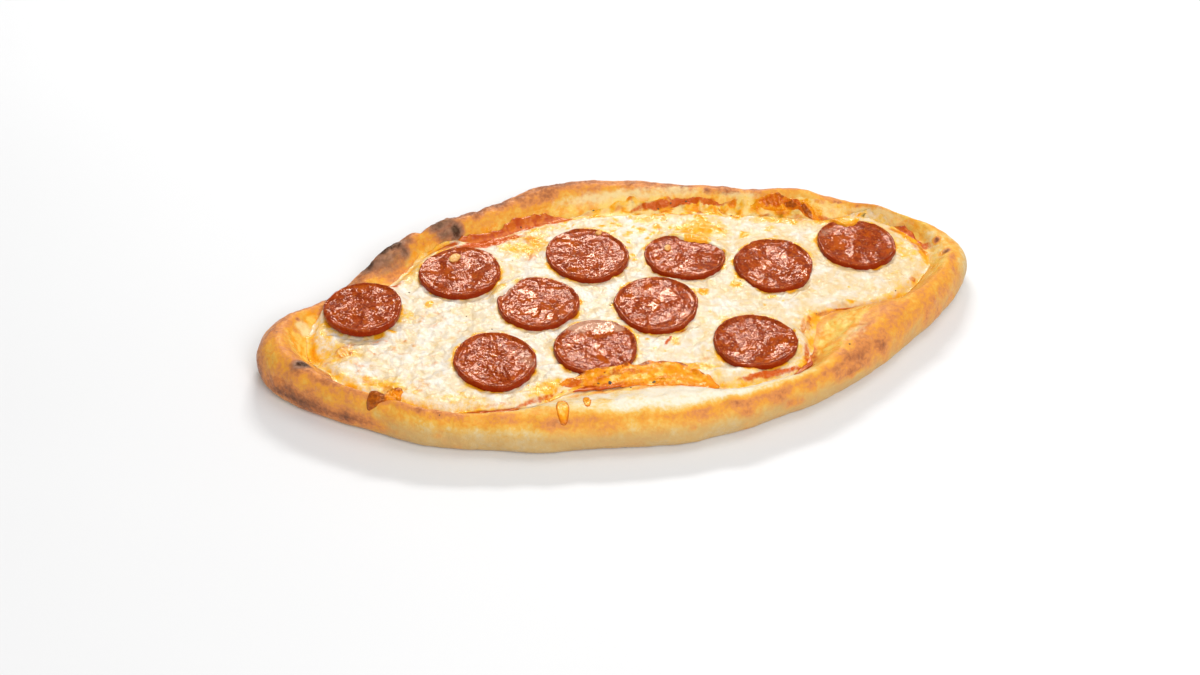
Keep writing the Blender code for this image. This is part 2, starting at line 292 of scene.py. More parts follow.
@dataclass
class BoatPlan:
    """The plan and the section that all layers share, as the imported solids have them.

    The crest's points have its height. Rim marks are flat marks whose strengths are heights. Sauce bands
    have a middle, how far the sauce runs out past the cheese there, and a half length.
    """

    outline_points: Table = (
        (155, 0), (150.5, 15.5), (133, 30), (120, 42), (107, 52), (94, 58), (80, 61), (62, 67),
        (48, 72.5), (25, 80), (2, 84), (-9, 85), (-21, 83.5), (-34, 79.5), (-48, 74), (-66, 68),
        (-75, 62), (-87, 58), (-97, 51), (-111, 42), (-122, 30), (-142, 17), (-154, 3), (-155, -11),
        (-146, -27), (-131, -40), (-117, -50), (-106, -58), (-96, -64), (-85, -68), (-69, -73),
        (-56, -77), (-35, -80), (-16, -83), (4, -85), (16, -84), (30, -82), (47, -78), (69, -71),
        (82, -65), (96, -57), (112, -46), (130, -33), (147, -16),
    )
    cheese_points: Table = (
        (136, 4), (134, 17), (128, 27), (118, 35), (106, 36), (97, 37), (88, 40), (77, 44), (63, 47),
        (48, 53), (28, 56), (8, 59), (-12, 61), (-27, 59), (-42, 54), (-54, 52), (-66, 52), (-80, 44),
        (-91, 33), (-103, 26), (-117, 21), (-128, 11), (-132, -4), (-128, -20), (-119, -33),
        (-107, -42), (-92, -51), (-77, -56), (-58, -58), (-45, -55), (-35, -52), (-20, -52), (-4, -52),
        (9, -54), (19, -60), (29, -63.5), (43, -62), (56, -61), (64, -53), (68, -41), (73, -31),
        (82, -26), (93, -27), (108, -26), (118, -20), (127, -12), (133, -4),
    )
    crest_points: Table = (
        (155, 0, 16), (135, 28, 16), (100, 55, 18), (45, 74, 18.5), (-9, 85, 20), (-50, 74, 19),
        (-80, 61, 19), (-98, 50, 17.5), (-112, 41, 12.5), (-124, 29, 11.2), (-140, 18, 15),
        (-155, -5, 20.5), (-131, -40, 19), (-95, -64, 17.5), (-35, -80, 17), (30, -82, 17),
        (75, -68, 17.5), (112, -46, 19), (145, -18, 18),
    )
    rim_marks: Table = (
        (-96, 45, 9, 7, 35, 2.6), (-66, 56, 7, 9, 20, 2.4), (-16, 74, 11, 6, 10, 1.2),
        (84, 50, 10, 4.5, -4, 3), (94, 43, 5, 7, -20, 2.6), (-135, -7, 6, 6, 0, -3.5),
        (-128, -24, 10, 4.5, -35, 2), (-105, -45, 7, 4.5, -35, 1.6), (-8, -57, 22, 5, -4, 1.6),
        (84, -34, 14, 6, 10, 1.5), (143, 8, 6, 5, 60, 1.2),
    )
    sauce_bands: Table = (
        (-30, 58, 5, 17), (-54, 52, 3, 9), (45, 54, 5, 13), (-18, -52, 3.5, 16), (7, -54, 3, 10),
        (-66, -58, 1.2, 12), (133, 17, 1.5, 10), (60, -58, 1.5, 8),
    )
    bottom_inset: float = 7
    bulge: float = 6.5
    well: float = 5
    well_share: float = 0.85
    foot: float = 9.6
    crest_share: float = 0.42
    largest_crest_inset: float = 11.5
    sauce_margin: float = 0.9
    sauce_climb: float = 0.42
    sauce_top: float = 1.1
    cheese_gap: float = 0.3
    cheese_edge: float = 0.9
    cheese_level: float = 12.2
    cheese_edge_share: float = 0.08
    swell: float = 0.3
    swell_length: float = 46

    def __post_init__(self) -> None:
        """Draw the smooth loops."""
        self.outline = smooth_loop(self.outline_points)
        self.cheese_loop = smooth_loop(self.cheese_points)
        self.crest_loop = smooth_loop(self.crest_points)

    def outline_radius(self, angles: Array) -> Array:
        """How far the rim's widest part is from the origin."""
        return around(self.outline, np.hypot(*self.outline.T), angles)

    def foot_radius(self, angles: Array) -> Array:
        """How far the cheese's edge is from the origin."""
        return around(self.cheese_loop, np.hypot(*self.cheese_loop.T), angles)

    def crest_radius(self, angles: Array) -> Array:
        """How far the rim's crest is from the origin.

        Args:
            angles: The directions.

        Returns:
            The distances.
        """
        outline = self.outline_radius(angles)
        inset = self.crest_share * (outline - self.foot_radius(angles))
        return outline - np.minimum(inset, self.largest_crest_inset)

    def sauce_radius(self, angles: Array) -> Array:
        """How far the sauce's edge is from the origin.

        Args:
            angles: The directions.

        Returns:
            The distances.
        """
        foot = self.foot_radius(angles)
        edge = places(foot, angles)
        past = np.full(foot.shape, self.sauce_margin)
        for x, y, extra, half_length in self.sauce_bands:
            past += extra * np.exp(-((np.hypot(edge[:, 0] - x, edge[:, 1] - y) / half_length) ** 2))
        return foot + np.minimum(past, self.sauce_climb * (self.crest_radius(angles) - foot))

    def sauce_show(self, angles: Array) -> Array:
        """How much of the sauce shows past the cheese, from 0 (none) to 1 (its full band).

        Args:
            angles: The directions.

        Returns:
            The shares.
        """
        edge = places(self.foot_radius(angles), angles)
        total = np.zeros(len(angles))
        for x, y, _, half_length in self.sauce_bands:
            away = np.hypot(edge[:, 0] - x, edge[:, 1] - y) / (1.25 * half_length)
            total = np.maximum(total, np.exp(-(away**4)))
        return total

    def dough_height(self, radii: Array, angles: Array) -> Array:
        """Height of the dough's upper side at distances and directions from the origin.

        Args:
            radii: The distances.
            angles: The directions.

        Returns:
            The heights.
        """
        foot, crest = self.foot_radius(angles), self.crest_radius(angles)
        outline = self.outline_radius(angles)
        crest_height = around(self.crest_loop, self.crest_loop[:, 2], angles)
        well_rise = smooth_step((radii / foot - self.well_share) / (1 - self.well_share))
        well = self.well + (self.foot - self.well) * well_rise
        climb = np.clip((radii - foot) / (crest - foot), 0, 1)
        slope = self.foot + (crest_height - self.foot) * (1 - np.cos(math.pi * climb)) / 2
        fall = np.sqrt(1 - np.clip((radii - crest) / (outline - crest), 0, 1) ** 2)
        side = self.bulge + (crest_height - self.bulge) * fall
        height = np.where(radii < foot, well, np.where(radii < crest, slope, side))
        return height + raised(places(radii, angles), self.rim_marks) * well_rise * fall

    def under_cheese(self, radii: Array, angles: Array) -> Array:
        """Height of the cheese's lower side."""
        return self.dough_height(radii, angles) + self.sauce_top + self.cheese_gap

    def cheese_height(self, radii: Array, angles: Array) -> Array:
        """Height of the cheese's upper side, before the slices sink into it.

        Args:
            radii: The distances.
            angles: The directions.

        Returns:
            The heights.
        """
        flat = places(radii, angles)
        wave_x = np.sin(FULL_TURN * flat[:, 0] / self.swell_length + 0.7)
        wave_y = np.cos(FULL_TURN * flat[:, 1] / self.swell_length - 0.4)
        level = self.cheese_level + self.swell * wave_x * wave_y
        foot = self.foot_radius(angles)
        edge = self.under_cheese(foot, angles) + self.cheese_edge
        inward = smooth_step((1 - radii / foot) / self.cheese_edge_share)
        return edge + (level - edge) * inward

    def ground(self, flat: Array) -> Array:
        """Height of the dough, the sauce or the cheese, whichever lies on top, at plan places.

        Args:
            flat: The places.

        Returns:
            The heights.
        """
        radii, angles = polar(flat)
        top = self.dough_height(radii, angles)
        top = np.where(radii < self.sauce_radius(angles), top + self.sauce_top, top)
        cheese = self.cheese_height(radii, angles)
        return np.where(radii < self.foot_radius(angles), np.maximum(cheese, top), top)


@dataclass
class SliceBed:
    """Where a packed slice lies: its middle, its underside's plane and its reach in each direction."""

    number: int
    thickness: float = 3.0
    directions: int = 180
    rim_width: float = 2.2
    rim_drop: float = 0.35
    # Where cheese laps over a slice: its number, direction and half width in degrees, and depth.
    laps: Table = ((4, 46, 44, 4.2), (7, 132, 26, 2.6), (6, 86, 17, 5.0), (11, -14, 24, 1.0))

    def __post_init__(self) -> None:
        """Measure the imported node."""
        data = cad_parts[self.node].data
        points = np.array([vertex.co for vertex in data.vertices]) / MM
        under = {i for face in data.polygons if face.normal.z < -0.9 for i in face.vertices}
        base = points[sorted(under)]
        self.middle = (base.min(axis=0) + base.max(axis=0))[:2] / 2
        terms = np.column_stack([np.ones(len(base)), base[:, :2]])
        self.plane = np.linalg.lstsq(terms, base[:, 2], rcond=None)[0]
        offset = points[:, :2] - self.middle
        self.angles = np.linspace(-math.pi, math.pi, self.directions, endpoint=False)
        support = (offset @ places(np.ones(self.directions), self.angles).T).max(axis=0)
        leaning = np.cos(self.angles[:, None] - self.angles)
        reach = np.where(leaning > 0.2, support / np.maximum(leaning, 0.2), np.inf).min(axis=1)
        self.radii = (reach + np.roll(reach, 1) + np.roll(reach, -1)) / 3

    @property
    def node(self) -> str:
        """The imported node's name."""
        return f"sausage_slice_{self.number:02d}"

    def reach(self, angles: Array) -> Array:
        """How far the slice reaches from its middle."""
        return np.interp(angles, self.angles, self.radii, period=FULL_TURN)

    def outside(self, flat: Array) -> tuple[Array, Array]:
        """How far plan places are outside the slice's outline, and their directions from its middle."""
        radii, angles = polar(flat - self.middle)
        return radii - self.reach(angles), angles

    def lap(self, angles: Array) -> Array:
        """How far the cheese laps over the slice in each direction.

        Args:
            angles: The directions.

        Returns:
            How far in the cheese reaches.
        """
        total = np.zeros(len(angles))
        for number, direction, half_width, depth in self.laps:
            if number == self.number:
                away = np.angle(np.exp(1j * (angles - math.radians(direction))))
                total += depth * np.exp(-((away / math.radians(half_width)) ** 4))
        return total

    def underside(self, flat: Array) -> Array:
        """Height of the slice's underside."""
        return self.plane[0] + flat @ self.plane[1:]

    def top(self, flat: Array) -> Array:
        """Height of the slice's plain top."""
        return self.underside(flat) + self.thickness - self.rim_drop


# -------- The modelling bench --------


class Bench:
    """Blender's tools, as every piece uses them."""

    @staticmethod
    def pick(piece: Thing) -> None:
        """Select one piece alone and make it the active one.

        Args:
            piece: The piece.
        """
        bpy.ops.object.select_all(action="DESELECT")
        piece.select_set(True)
        bpy.context.view_layer.objects.active = piece

    @staticmethod
    def shell(name: str, segments: int, rings: int) -> tuple[Thing, Array, Array]:
        """Add a flat grid, to be wrapped into a closed shell.

        Args:
            name: The piece's name.
            segments: Faces round the shell.
            rings: Faces from its lower pole to its upper.

        Returns:
            The piece, and how far round and how far up each of its points will lie, from 0 to 1.
        """
        bpy.ops.mesh.primitive_grid_add(x_subdivisions=segments, y_subdivisions=rings, size=1)
        piece = bpy.context.object
        piece.name = piece.data.name = name
        turns, rises, _ = (Bench.points(piece) * MM + 0.5).T
        return piece, turns, rises

    @staticmethod
    def wrap(piece: Thing, points: Array, *values: Array) -> list[Array]:
        """Move a grid's points to their places and close its seams.

        Args:
            piece: The grid.
            points: The places.
            values: Values for each point.

        Returns:
            The values for each point that is left.
        """
        Bench.move(piece, points)
        names = [f"kept_{number}" for number in range(len(values))]
        for name, value in zip(names, values):
            Bench.keep(piece, name, value)
        Bench.merge(piece)
        kept = []
        for name in names:
            left = np.empty(len(piece.data.vertices), np.float32)
            piece.data.attributes[name].data.foreach_get("value", left)
            kept.append(left.astype(float))
            piece.data.attributes.remove(piece.data.attributes[name])
        return kept

    @staticmethod
    def keep(piece: Thing, name: str, values: Array) -> None:
        """Keep a value for each point of a piece."""
        layer = piece.data.attributes.new(name, "FLOAT", "POINT")
        layer.data.foreach_set("value", values.astype(np.float32))

    @staticmethod
    def vectors(rows: bpy.types.bpy_prop_collection, name: str) -> Array:
        """Read a vector of each row of a mesh.

        Args:
            rows: The mesh's points or their normals.
            name: The vector's name there.

        Returns:
            The vectors.
        """
        flat = np.empty(len(rows) * 3, np.float32)
        rows.foreach_get(name, flat)
        return flat.reshape(-1, 3).astype(float)

    @staticmethod
    def points(piece: Thing) -> Array:
        """A piece's points, in millimetres."""
        return Bench.vectors(piece.data.vertices, "co") / MM

    @staticmethod
    def move(piece: Thing, points: Array) -> None:
        """Move a piece's points to places in millimetres."""
        piece.data.vertices.foreach_set("co", (points * MM).astype(np.float32).ravel())
        piece.data.update()

    @staticmethod
    def normals(piece: Thing) -> Array:
        """The direction that each point of a piece faces."""
        return Bench.vectors(piece.data.vertex_normals, "vector")

    @staticmethod
    def inside_box(points: Array) -> Array:
        """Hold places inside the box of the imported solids."""
        low, high = (np.array(corner) / MM for corner in CAD_BOX)
        return np.clip(points, low, high)

    @staticmethod
    def masks(piece: Thing, **masks: Array) -> None:
        """Keep values from 0 to 1 for each point, for the materials to read."""
        for name, values in masks.items():
            Bench.keep(piece, name, np.clip(values, 0, 1))

    @staticmethod
    def merge(piece: Thing) -> None:
        """Merge points that lie in the same place, and face every face outwards.

        Args:
            piece: The piece.
        """
        Bench.pick(piece)
        bpy.ops.object.mode_set(mode="EDIT")
        bpy.ops.mesh.select_all(action="SELECT")
        bpy.ops.mesh.remove_doubles(threshold=1e-6)
        bpy.ops.mesh.normals_make_consistent(inside=False)
        bpy.ops.object.mode_set(mode="OBJECT")

    @staticmethod
    def hand_over(piece: Thing, material: bpy.types.Material, slot: str, *nodes: str) -> None:
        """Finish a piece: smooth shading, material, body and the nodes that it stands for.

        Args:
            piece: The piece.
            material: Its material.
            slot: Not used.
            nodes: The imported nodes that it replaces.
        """
        Bench.pick(piece)
        bpy.ops.object.shade_smooth()
        piece.data.materials.clear()
        piece.data.materials.append(material)
        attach(piece, "root")
        if nodes:
            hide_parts(*nodes)
        mesh = piece.data
        log.info("%s: %d points, %d faces", piece.name, len(mesh.vertices), len(mesh.polygons))


# -------- Shared effects and the recipe that writes materials --------


class Effect(Enum):
    """Effects that more than one material uses, each a node group."""

    MOTTLE = "mottle"
    RAGGED = "ragged_edge"
    PEBBLES = "pebbles"


@dataclass
class Recipe:
    """Writes shader nodes into a material or a group."""

    tree: bpy.types.NodeTree

    def node(self, kind: str, inputs: dict | None = None, **settings) -> bpy.types.Node:
        """Add a node.

        Args:
            kind: Its Blender type.
            inputs: Sockets or plain values, by the input's name or number.
            settings: Values of its own properties.

        Returns:
            The node.
        """
        made = self.tree.nodes.new(kind)
        for name, value in settings.items():
            setattr(made, name, value)
        for name, value in (inputs or {}).items():
            if isinstance(value, Socket):
                self.tree.links.new(value, made.inputs[name])
            else:
                made.inputs[name].default_value = value
        return made

    def spot(self) -> Socket:
        """Places on the object, in metres."""
        return self.node("ShaderNodeTexCoord").outputs["Object"]

    def mask(self, name: str) -> Socket:
        """A value that the mesh keeps for each point."""
        return self.node("ShaderNodeAttribute", attribute_name=name).outputs["Fac"]

    def math(self, kind: str, *values: Socket | float) -> Socket:
        """What a Math node of the given kind makes of the values."""
        return self.node("ShaderNodeMath", dict(enumerate(values)), operation=kind).outputs[0]

    def range(self, value: Socket, *ends: Socket | float) -> Socket:
        """A value moved smoothly from one range to another.

        Args:
            value: The value.
            ends: Where it starts and stops to change, then what these become, 0 and 1 if not given.

        Returns:
            The new value.
        """
        names = ("From Min", "From Max", "To Min", "To Max")
        inputs = {"Value": value, "To Min": 0.0, "To Max": 1.0, **dict(zip(names, ends))}
        made = self.node("ShaderNodeMapRange", inputs, interpolation_type="SMOOTHSTEP")
        return made.outputs["Result"]

    def ramp(self, value: Socket, stops: Sequence[tuple[float, Colour]]) -> Socket:
        """Colours along a value.

        Args:
            value: The value, from 0 to 1.
            stops: Positions and their colours.

        Returns:
            The colour.
        """
        made = self.node("ShaderNodeValToRGB", {"Fac": value})
        elements = made.color_ramp.elements
        while len(elements) < len(stops):
            elements.new(0.5)
        for element, (position, colour) in zip(elements, stops):
            element.position = position
            element.color = (*colour, 1)
        return made.outputs["Color"]

    def mix(self, share: Socket, first: Socket | Colour, second: Socket | Colour) -> Socket:
        """Two colours mixed by a share."""
        first, second = (value if isinstance(value, Socket) else (*value, 1) for value in (first, second))
        return self.node("ShaderNodeMix", {0: share, 6: first, 7: second}, data_type="RGBA").outputs[2]

    def lay(self, under: Socket, share: Socket, over: Socket | Colour, strength: float = 1.0) -> Socket:
        """A colour laid over another by a share of the given strength.

        Args:
            under: The lower colour.
            share: The share.
            over: The upper colour.
            strength: The most that shows of it.

        Returns:
            The colour.
        """
        if strength < 1:
            share = self.math("MULTIPLY", share, strength)
        return self.mix(share, under, over)

    def effect(self, which: Effect, **inputs: Socket | float) -> Socket:
        """Place a shared effect with its own inputs, and give what it puts out."""
        return self.node("ShaderNodeGroup", inputs, node_tree=effect_group(which)).outputs[0]

    def mottle(
        self, size: float, seed: float, detail: float, low: float = 0.2, high: float = 0.8
    ) -> Socket:
        """Cloudy patches of a size in millimetres, from 0 at noise of low to 1 at noise of high."""
        return self.effect(Effect.MOTTLE, Size=size, Seed=seed, Detail=detail, Low=low, High=high)

    def ragged(self, mask: Socket, size: float, amount: float, softness: float) -> Socket:
        """A mask whose soft edge is broken up, by breaks of a size in millimetres."""
        return self.effect(Effect.RAGGED, Mask=mask, Size=size, Amount=amount, Softness=softness)

    def bump(
        self, height: Socket, depth: float, strength: Socket | float, under: Socket | None = None
    ) -> Socket:
        """A bumpy surface.

        Args:
            height: Its height, from 0 to 1.
            depth: The height's depth in millimetres.
            strength: How much of it shows.
            under: The bumps under it.

        Returns:
            The normal.
        """
        inputs = {"Height": height, "Distance": depth * MM, "Strength": strength}
        if under is not None:
            inputs["Normal"] = under
        return self.node("ShaderNodeBump", inputs).outputs["Normal"]


@cache
def effect_group(which: Effect) -> bpy.types.NodeTree:
    """Build a shared effect's node group, once."""
    makers = {Effect.MOTTLE: mottle_group, Effect.RAGGED: ragged_group, Effect.PEBBLES: pebbles_group}
    return makers[which]()


def start_group(effect: Effect, **inputs: float) -> tuple[Recipe, bpy.types.NodeOutputs, Socket]:
    """Start a node group with named inputs.

    Args:
        effect: The effect that it makes.
        inputs: Its inputs and their usual values.

    Returns:
        Its recipe, what comes in, and places on the object counted in its Size of so many millimetres.
    """
    tree = bpy.data.node_groups.new(effect.value, "ShaderNodeTree")
    for name, value in inputs.items():
        socket = tree.interface.new_socket(name, in_out="INPUT", socket_type="NodeSocketFloat")
        socket.default_value = value
    tree.interface.new_socket("Value", in_out="OUTPUT", socket_type="NodeSocketFloat")
    recipe = Recipe(tree)
    given = recipe.node("NodeGroupInput").outputs
    scale = recipe.math("DIVIDE", 1 / MM, given["Size"])
    spot = recipe.node("ShaderNodeVectorMath", {0: recipe.spot(), "Scale": scale}, operation="SCALE")
    return recipe, given, spot.outputs[0]


def end_group(recipe: Recipe, value: Socket) -> bpy.types.NodeTree:
    """Link a group's one output, and give its tree."""
    recipe.node("NodeGroupOutput", {"Value": value})
    return recipe.tree


def mottle_group() -> bpy.types.NodeTree:
    """Cloudy patches between Low and High of a fine noise.

    Returns:
        The group.
    """
    recipe, given, spot = start_group(Effect.MOTTLE, Size=5.0, Seed=0.0, Detail=4.0, Low=0.4, High=0.6)
    shifted = recipe.node("ShaderNodeVectorMath", {0: spot, 1: given["Seed"]}, operation="ADD").outputs[0]
    inputs = {"Vector": shifted, "Scale": 1.0, "Detail": given["Detail"], "Distortion": 0.4}
    grey = recipe.node("ShaderNodeTexNoise", inputs).outputs["Fac"]
    return end_group(recipe, recipe.range(grey, given["Low"], given["High"]))


def ragged_group() -> bpy.types.NodeTree:
    """A mask whose soft edge is broken up by fine noise.

    Returns:
        The group.
    """
    recipe, given, spot = start_group(Effect.RAGGED, Mask=0.0, Size=1.5, Amount=0.5, Softness=0.3)
    inputs = {"Vector": spot, "Scale": 1.0, "Detail": 4.0, "Roughness": 0.6}
    grey = recipe.node("ShaderNodeTexNoise", inputs).outputs["Fac"]
    shift = recipe.math("MULTIPLY", recipe.math("SUBTRACT", grey, 0.5), given["Amount"])
    pushed = recipe.math("ADD", recipe.math("MULTIPLY", shift, 2.0), given["Mask"])
    ends = [recipe.math(kind, 0.5, given["Softness"]) for kind in ("SUBTRACT", "ADD")]
    return end_group(recipe, recipe.range(pushed, *ends))


def pebbles_group() -> bpy.types.NodeTree:
    """Low rounded grains, as wet minced or melted food has.

    Returns:
        The group.
    """
    recipe, given, spot = start_group(Effect.PEBBLES, Size=2.0, Jitter=1.0)
    wobble = recipe.node("ShaderNodeTexNoise", {"Vector": spot, "Scale": 1.3, "Detail": 2.0})
    inputs = {0: spot, 1: wobble.outputs["Color"]}
    moved = recipe.node("ShaderNodeVectorMath", inputs, operation="ADD").outputs[0]
    inputs = {"Vector": moved, "Scale": 1.0, "Randomness": given["Jitter"], "Smoothness": 0.35}
    cells = recipe.node("ShaderNodeTexVoronoi", inputs, feature="SMOOTH_F1")
    return end_group(recipe, recipe.math("SUBTRACT", 1.0, cells.outputs["Distance"]))


def start_material(name: str) -> Recipe:
    """Start a material, and give its recipe.

    Args:
        name: The material's name.

    Returns:
        Its recipe.
    """
    material = bpy.data.materials.new(name)
    material.use_nodes = True
    material.node_tree.nodes.clear()
    return Recipe(material.node_tree)


def end_material(recipe: Recipe, name: str, **inputs: Socket | float | Colour) -> bpy.types.Material:
    """End a material with its Principled shader.

    Args:
        recipe: The material's recipe.
        name: Its name.
        inputs: The shader's inputs, whose names have _ for each space.

    Returns:
        The material.
    """
    if "Specular_Tint" in inputs:
        inputs["Specular_Tint"] = (*inputs["Specular_Tint"], 1)
    named = {key.replace("_", " "): value for key, value in inputs.items()}
    shader = recipe.node("ShaderNodeBsdfPrincipled", named)
    recipe.node("ShaderNodeOutputMaterial", {"Surface": shader.outputs["BSDF"]})
    return bpy.data.materials[name]


@dataclass(frozen=True)
class DoughFinish:
    """Baked dough: cream where it hardly browned, then gold, brown and charred; painted shade low on its
    side.
    """

    bake: Sequence[tuple[float, Colour]] = (
        (0.04, (0.80, 0.73, 0.58)), (0.14, (0.80, 0.66, 0.40)), (0.24, (0.79, 0.54, 0.20)),
        (0.33, (0.80, 0.44, 0.075)), (0.45, (0.79, 0.325, 0.036)), (0.57, (0.68, 0.245, 0.068)),
        (0.70, (0.44, 0.145, 0.050)), (0.85, (0.20, 0.076, 0.040)), (1.00, (0.07, 0.033, 0.022)),
    )
    char_dark: Colour = (0.065, 0.026, 0.015)
    char_ash: Colour = (0.34, 0.175, 0.11)
    # Painted shade: the colour that the low side of the wall is darkened towards.
    low: Colour = (0.52, 0.34, 0.15)
    shine: Colour = (1.0, 0.78, 0.46)
    oily_pale: Colour = (0.88, 0.60, 0.12)
    oily_deep: Colour = (0.86, 0.32, 0.008)
    sauce: Colour = (0.54, 0.078, 0.004)
    milk: Colour = (0.86, 0.69, 0.34)
    # How far coarse and fine patches shift the baking, and the roughness of dry and of oily dough.
    swing: float = 0.12
    roughness: tuple[float, float] = (0.42, 0.20)

    def material(self) -> bpy.types.Material:
        """Mix the dough's colours from the piece's masks, with fine grain and wrinkles.

        Returns:
            The material.
        """
        recipe = start_material("baked_dough")
        toast, char, oil = (recipe.mask(name) for name in ("toast", "char", "oil"))
        coarse = recipe.mottle(9.0, seed=3, detail=5, low=0.3, high=0.7)
        fine = recipe.mottle(1.6, seed=8, detail=4, low=0.3, high=0.7)
        swings = [recipe.math("MULTIPLY", patches, self.swing) for patches in (coarse, fine)]
        swing = recipe.math("ADD", *swings)
        shifted = recipe.math("SUBTRACT", swing, self.swing)
        colour = recipe.ramp(recipe.math("ADD", toast, shifted), self.bake)
        # Painted shade darkens the low side of the wall, near the bottom.
        colour = recipe.lay(colour, recipe.mask("low"), self.low)
        film = recipe.ragged(recipe.mask("melt"), 2.6, amount=0.7, softness=0.4)
        colour = recipe.lay(colour, film, self.milk, 0.85)
        shade = recipe.mottle(4.0, seed=1, detail=4, low=0.40, high=0.62)
        soaked = recipe.ragged(oil, 2.4, amount=0.45, softness=0.42)
        colour = recipe.lay(colour, soaked, recipe.mix(shade, self.oily_pale, self.oily_deep), 0.88)
        colour = recipe.lay(colour, recipe.ragged(recipe.mask("stain"), 1.6, 0.5, 0.3), self.sauce)
        ash = recipe.math("MULTIPLY", recipe.mottle(2.2, seed=5, detail=5, low=0.35, high=0.7), 0.6)
        deep = recipe.range(char, 0.74, 1.12)
        paler = recipe.math("SUBTRACT", recipe.math("ADD", 0.55, ash), deep)
        burnt = recipe.mix(recipe.math("MAXIMUM", paler, 0.0), self.char_dark, self.char_ash)
        colour = recipe.lay(colour, recipe.ragged(char, 1.8, amount=0.25, softness=0.5), burnt)
        uneven = recipe.math("MULTIPLY", recipe.math("SUBTRACT", fine, 0.5), 0.16)
        rough = recipe.math("ADD", recipe.range(oil, 0.0, 0.8, *self.roughness), uneven)
        skin = recipe.bump(recipe.mottle(3.2, seed=2, detail=6), 0.5, 0.5)
        wrinkle = recipe.effect(Effect.PEBBLES, Size=2.6)
        skin = recipe.bump(wrinkle, 0.5, recipe.range(toast, 0.35, 0.8, 0.0, 0.6), skin)
        skin = recipe.bump(recipe.mottle(0.7, seed=4, detail=3), 0.12, 0.6, skin)
        return end_material(
            recipe, "baked_dough", Base_Color=colour, Roughness=rough, Normal=skin,
            Specular_IOR_Level=0.27, Specular_Tint=self.shine,
        )


@dataclass(frozen=True)
class SauceFinish:
    """Tomato sauce: red-orange, wet and pulpy."""

    bright: Colour = (0.64, 0.150, 0.006)
    deep: Colour = (0.46, 0.055, 0.003)
    shine: Colour = (1.0, 0.7, 0.5)

    def material(self) -> bpy.types.Material:
        """Mix the sauce.

        Returns:
            The material.
        """
        recipe = start_material("tomato_sauce")
        patches = recipe.mottle(3.0, seed=6, detail=5, low=0.35, high=0.65)
        colour = recipe.mix(patches, self.bright, self.deep)
        pulp = recipe.bump(recipe.effect(Effect.PEBBLES, Size=2.2), 0.3, 0.7)
        return end_material(
            recipe, "tomato_sauce", Base_Color=colour, Normal=pulp, Roughness=0.3, Specular_Tint=self.shine
        )


@dataclass(frozen=True)
class CheeseFinish:
    """Melted cheese: creamy white, with yellow and orange oil, sauce at its edge and browned spots."""

    name: str = "melted_cheese"
    white: Colour = (0.80, 0.74, 0.65)
    cream: Colour = (0.74, 0.56, 0.31)
    curd: Colour = (0.74, 0.50, 0.20)
    yellow: Colour = (0.86, 0.48, 0.012)
    orange: Colour = (0.86, 0.29, 0.003)
    sauce: Colour = (0.56, 0.080, 0.002)
    golden: Colour = (0.68, 0.20, 0.008)
    brown: Colour = (0.28, 0.052, 0.008)
    shine: Colour = (1.0, 0.80, 0.46)
    # Roughness where it is dry and where it is oily.
    roughness: tuple[float, float] = (0.32, 0.18)

    def material(self) -> bpy.types.Material:
        """Mix the cheese's colours from the piece's masks, with soft wet bumps.

        Returns:
            The material.
        """
        recipe = start_material(self.name)
        oil, brown = recipe.mask("oil"), recipe.mask("brown")
        more_oil, more_brown = recipe.math("SUBTRACT", oil, 0.35), recipe.math("SUBTRACT", brown, 0.4)
        threads = recipe.ragged(recipe.mask("cream"), 2.6, amount=0.55, softness=0.5)
        colour = recipe.mix(threads, self.white, self.cream)
        curd = recipe.mottle(4.5, seed=6, detail=5, low=0.50, high=0.62)
        # What is laid over it: mask, size, amount and softness of its edge, colour and strength.
        layers = (
            (oil, 2.2, 0.8, 0.5, self.yellow, 0.96),
            (more_oil, 2.0, 0.5, 0.3, self.orange, 0.92),
            (recipe.mask("stain"), 2.0, 0.55, 0.35, self.sauce, 1.0),
            (brown, 1.6, 0.45, 0.4, self.golden, 0.85),
            (more_brown, 1.2, 0.4, 0.3, self.brown, 0.9),
        )
        colour = recipe.lay(colour, curd, self.curd, 0.45)
        for mask, size, amount, softness, over, strength in layers:
            colour = recipe.lay(colour, recipe.ragged(mask, size, amount, softness), over, strength)
        skin = recipe.bump(recipe.mottle(3.6, seed=7, detail=4), 0.9, 0.5)
        skin = recipe.bump(recipe.effect(Effect.PEBBLES, Size=2.0), 0.2, 0.25, skin)
        skin = recipe.bump(recipe.mottle(0.8, seed=1, detail=3), 0.08, 0.35, skin)
        wet = recipe.range(oil, 0.0, 0.7, *self.roughness)
        return end_material(
            recipe, self.name, Base_Color=colour, Roughness=wet, Normal=skin,
            Specular_IOR_Level=0.35, Specular_Tint=self.shine,
        )


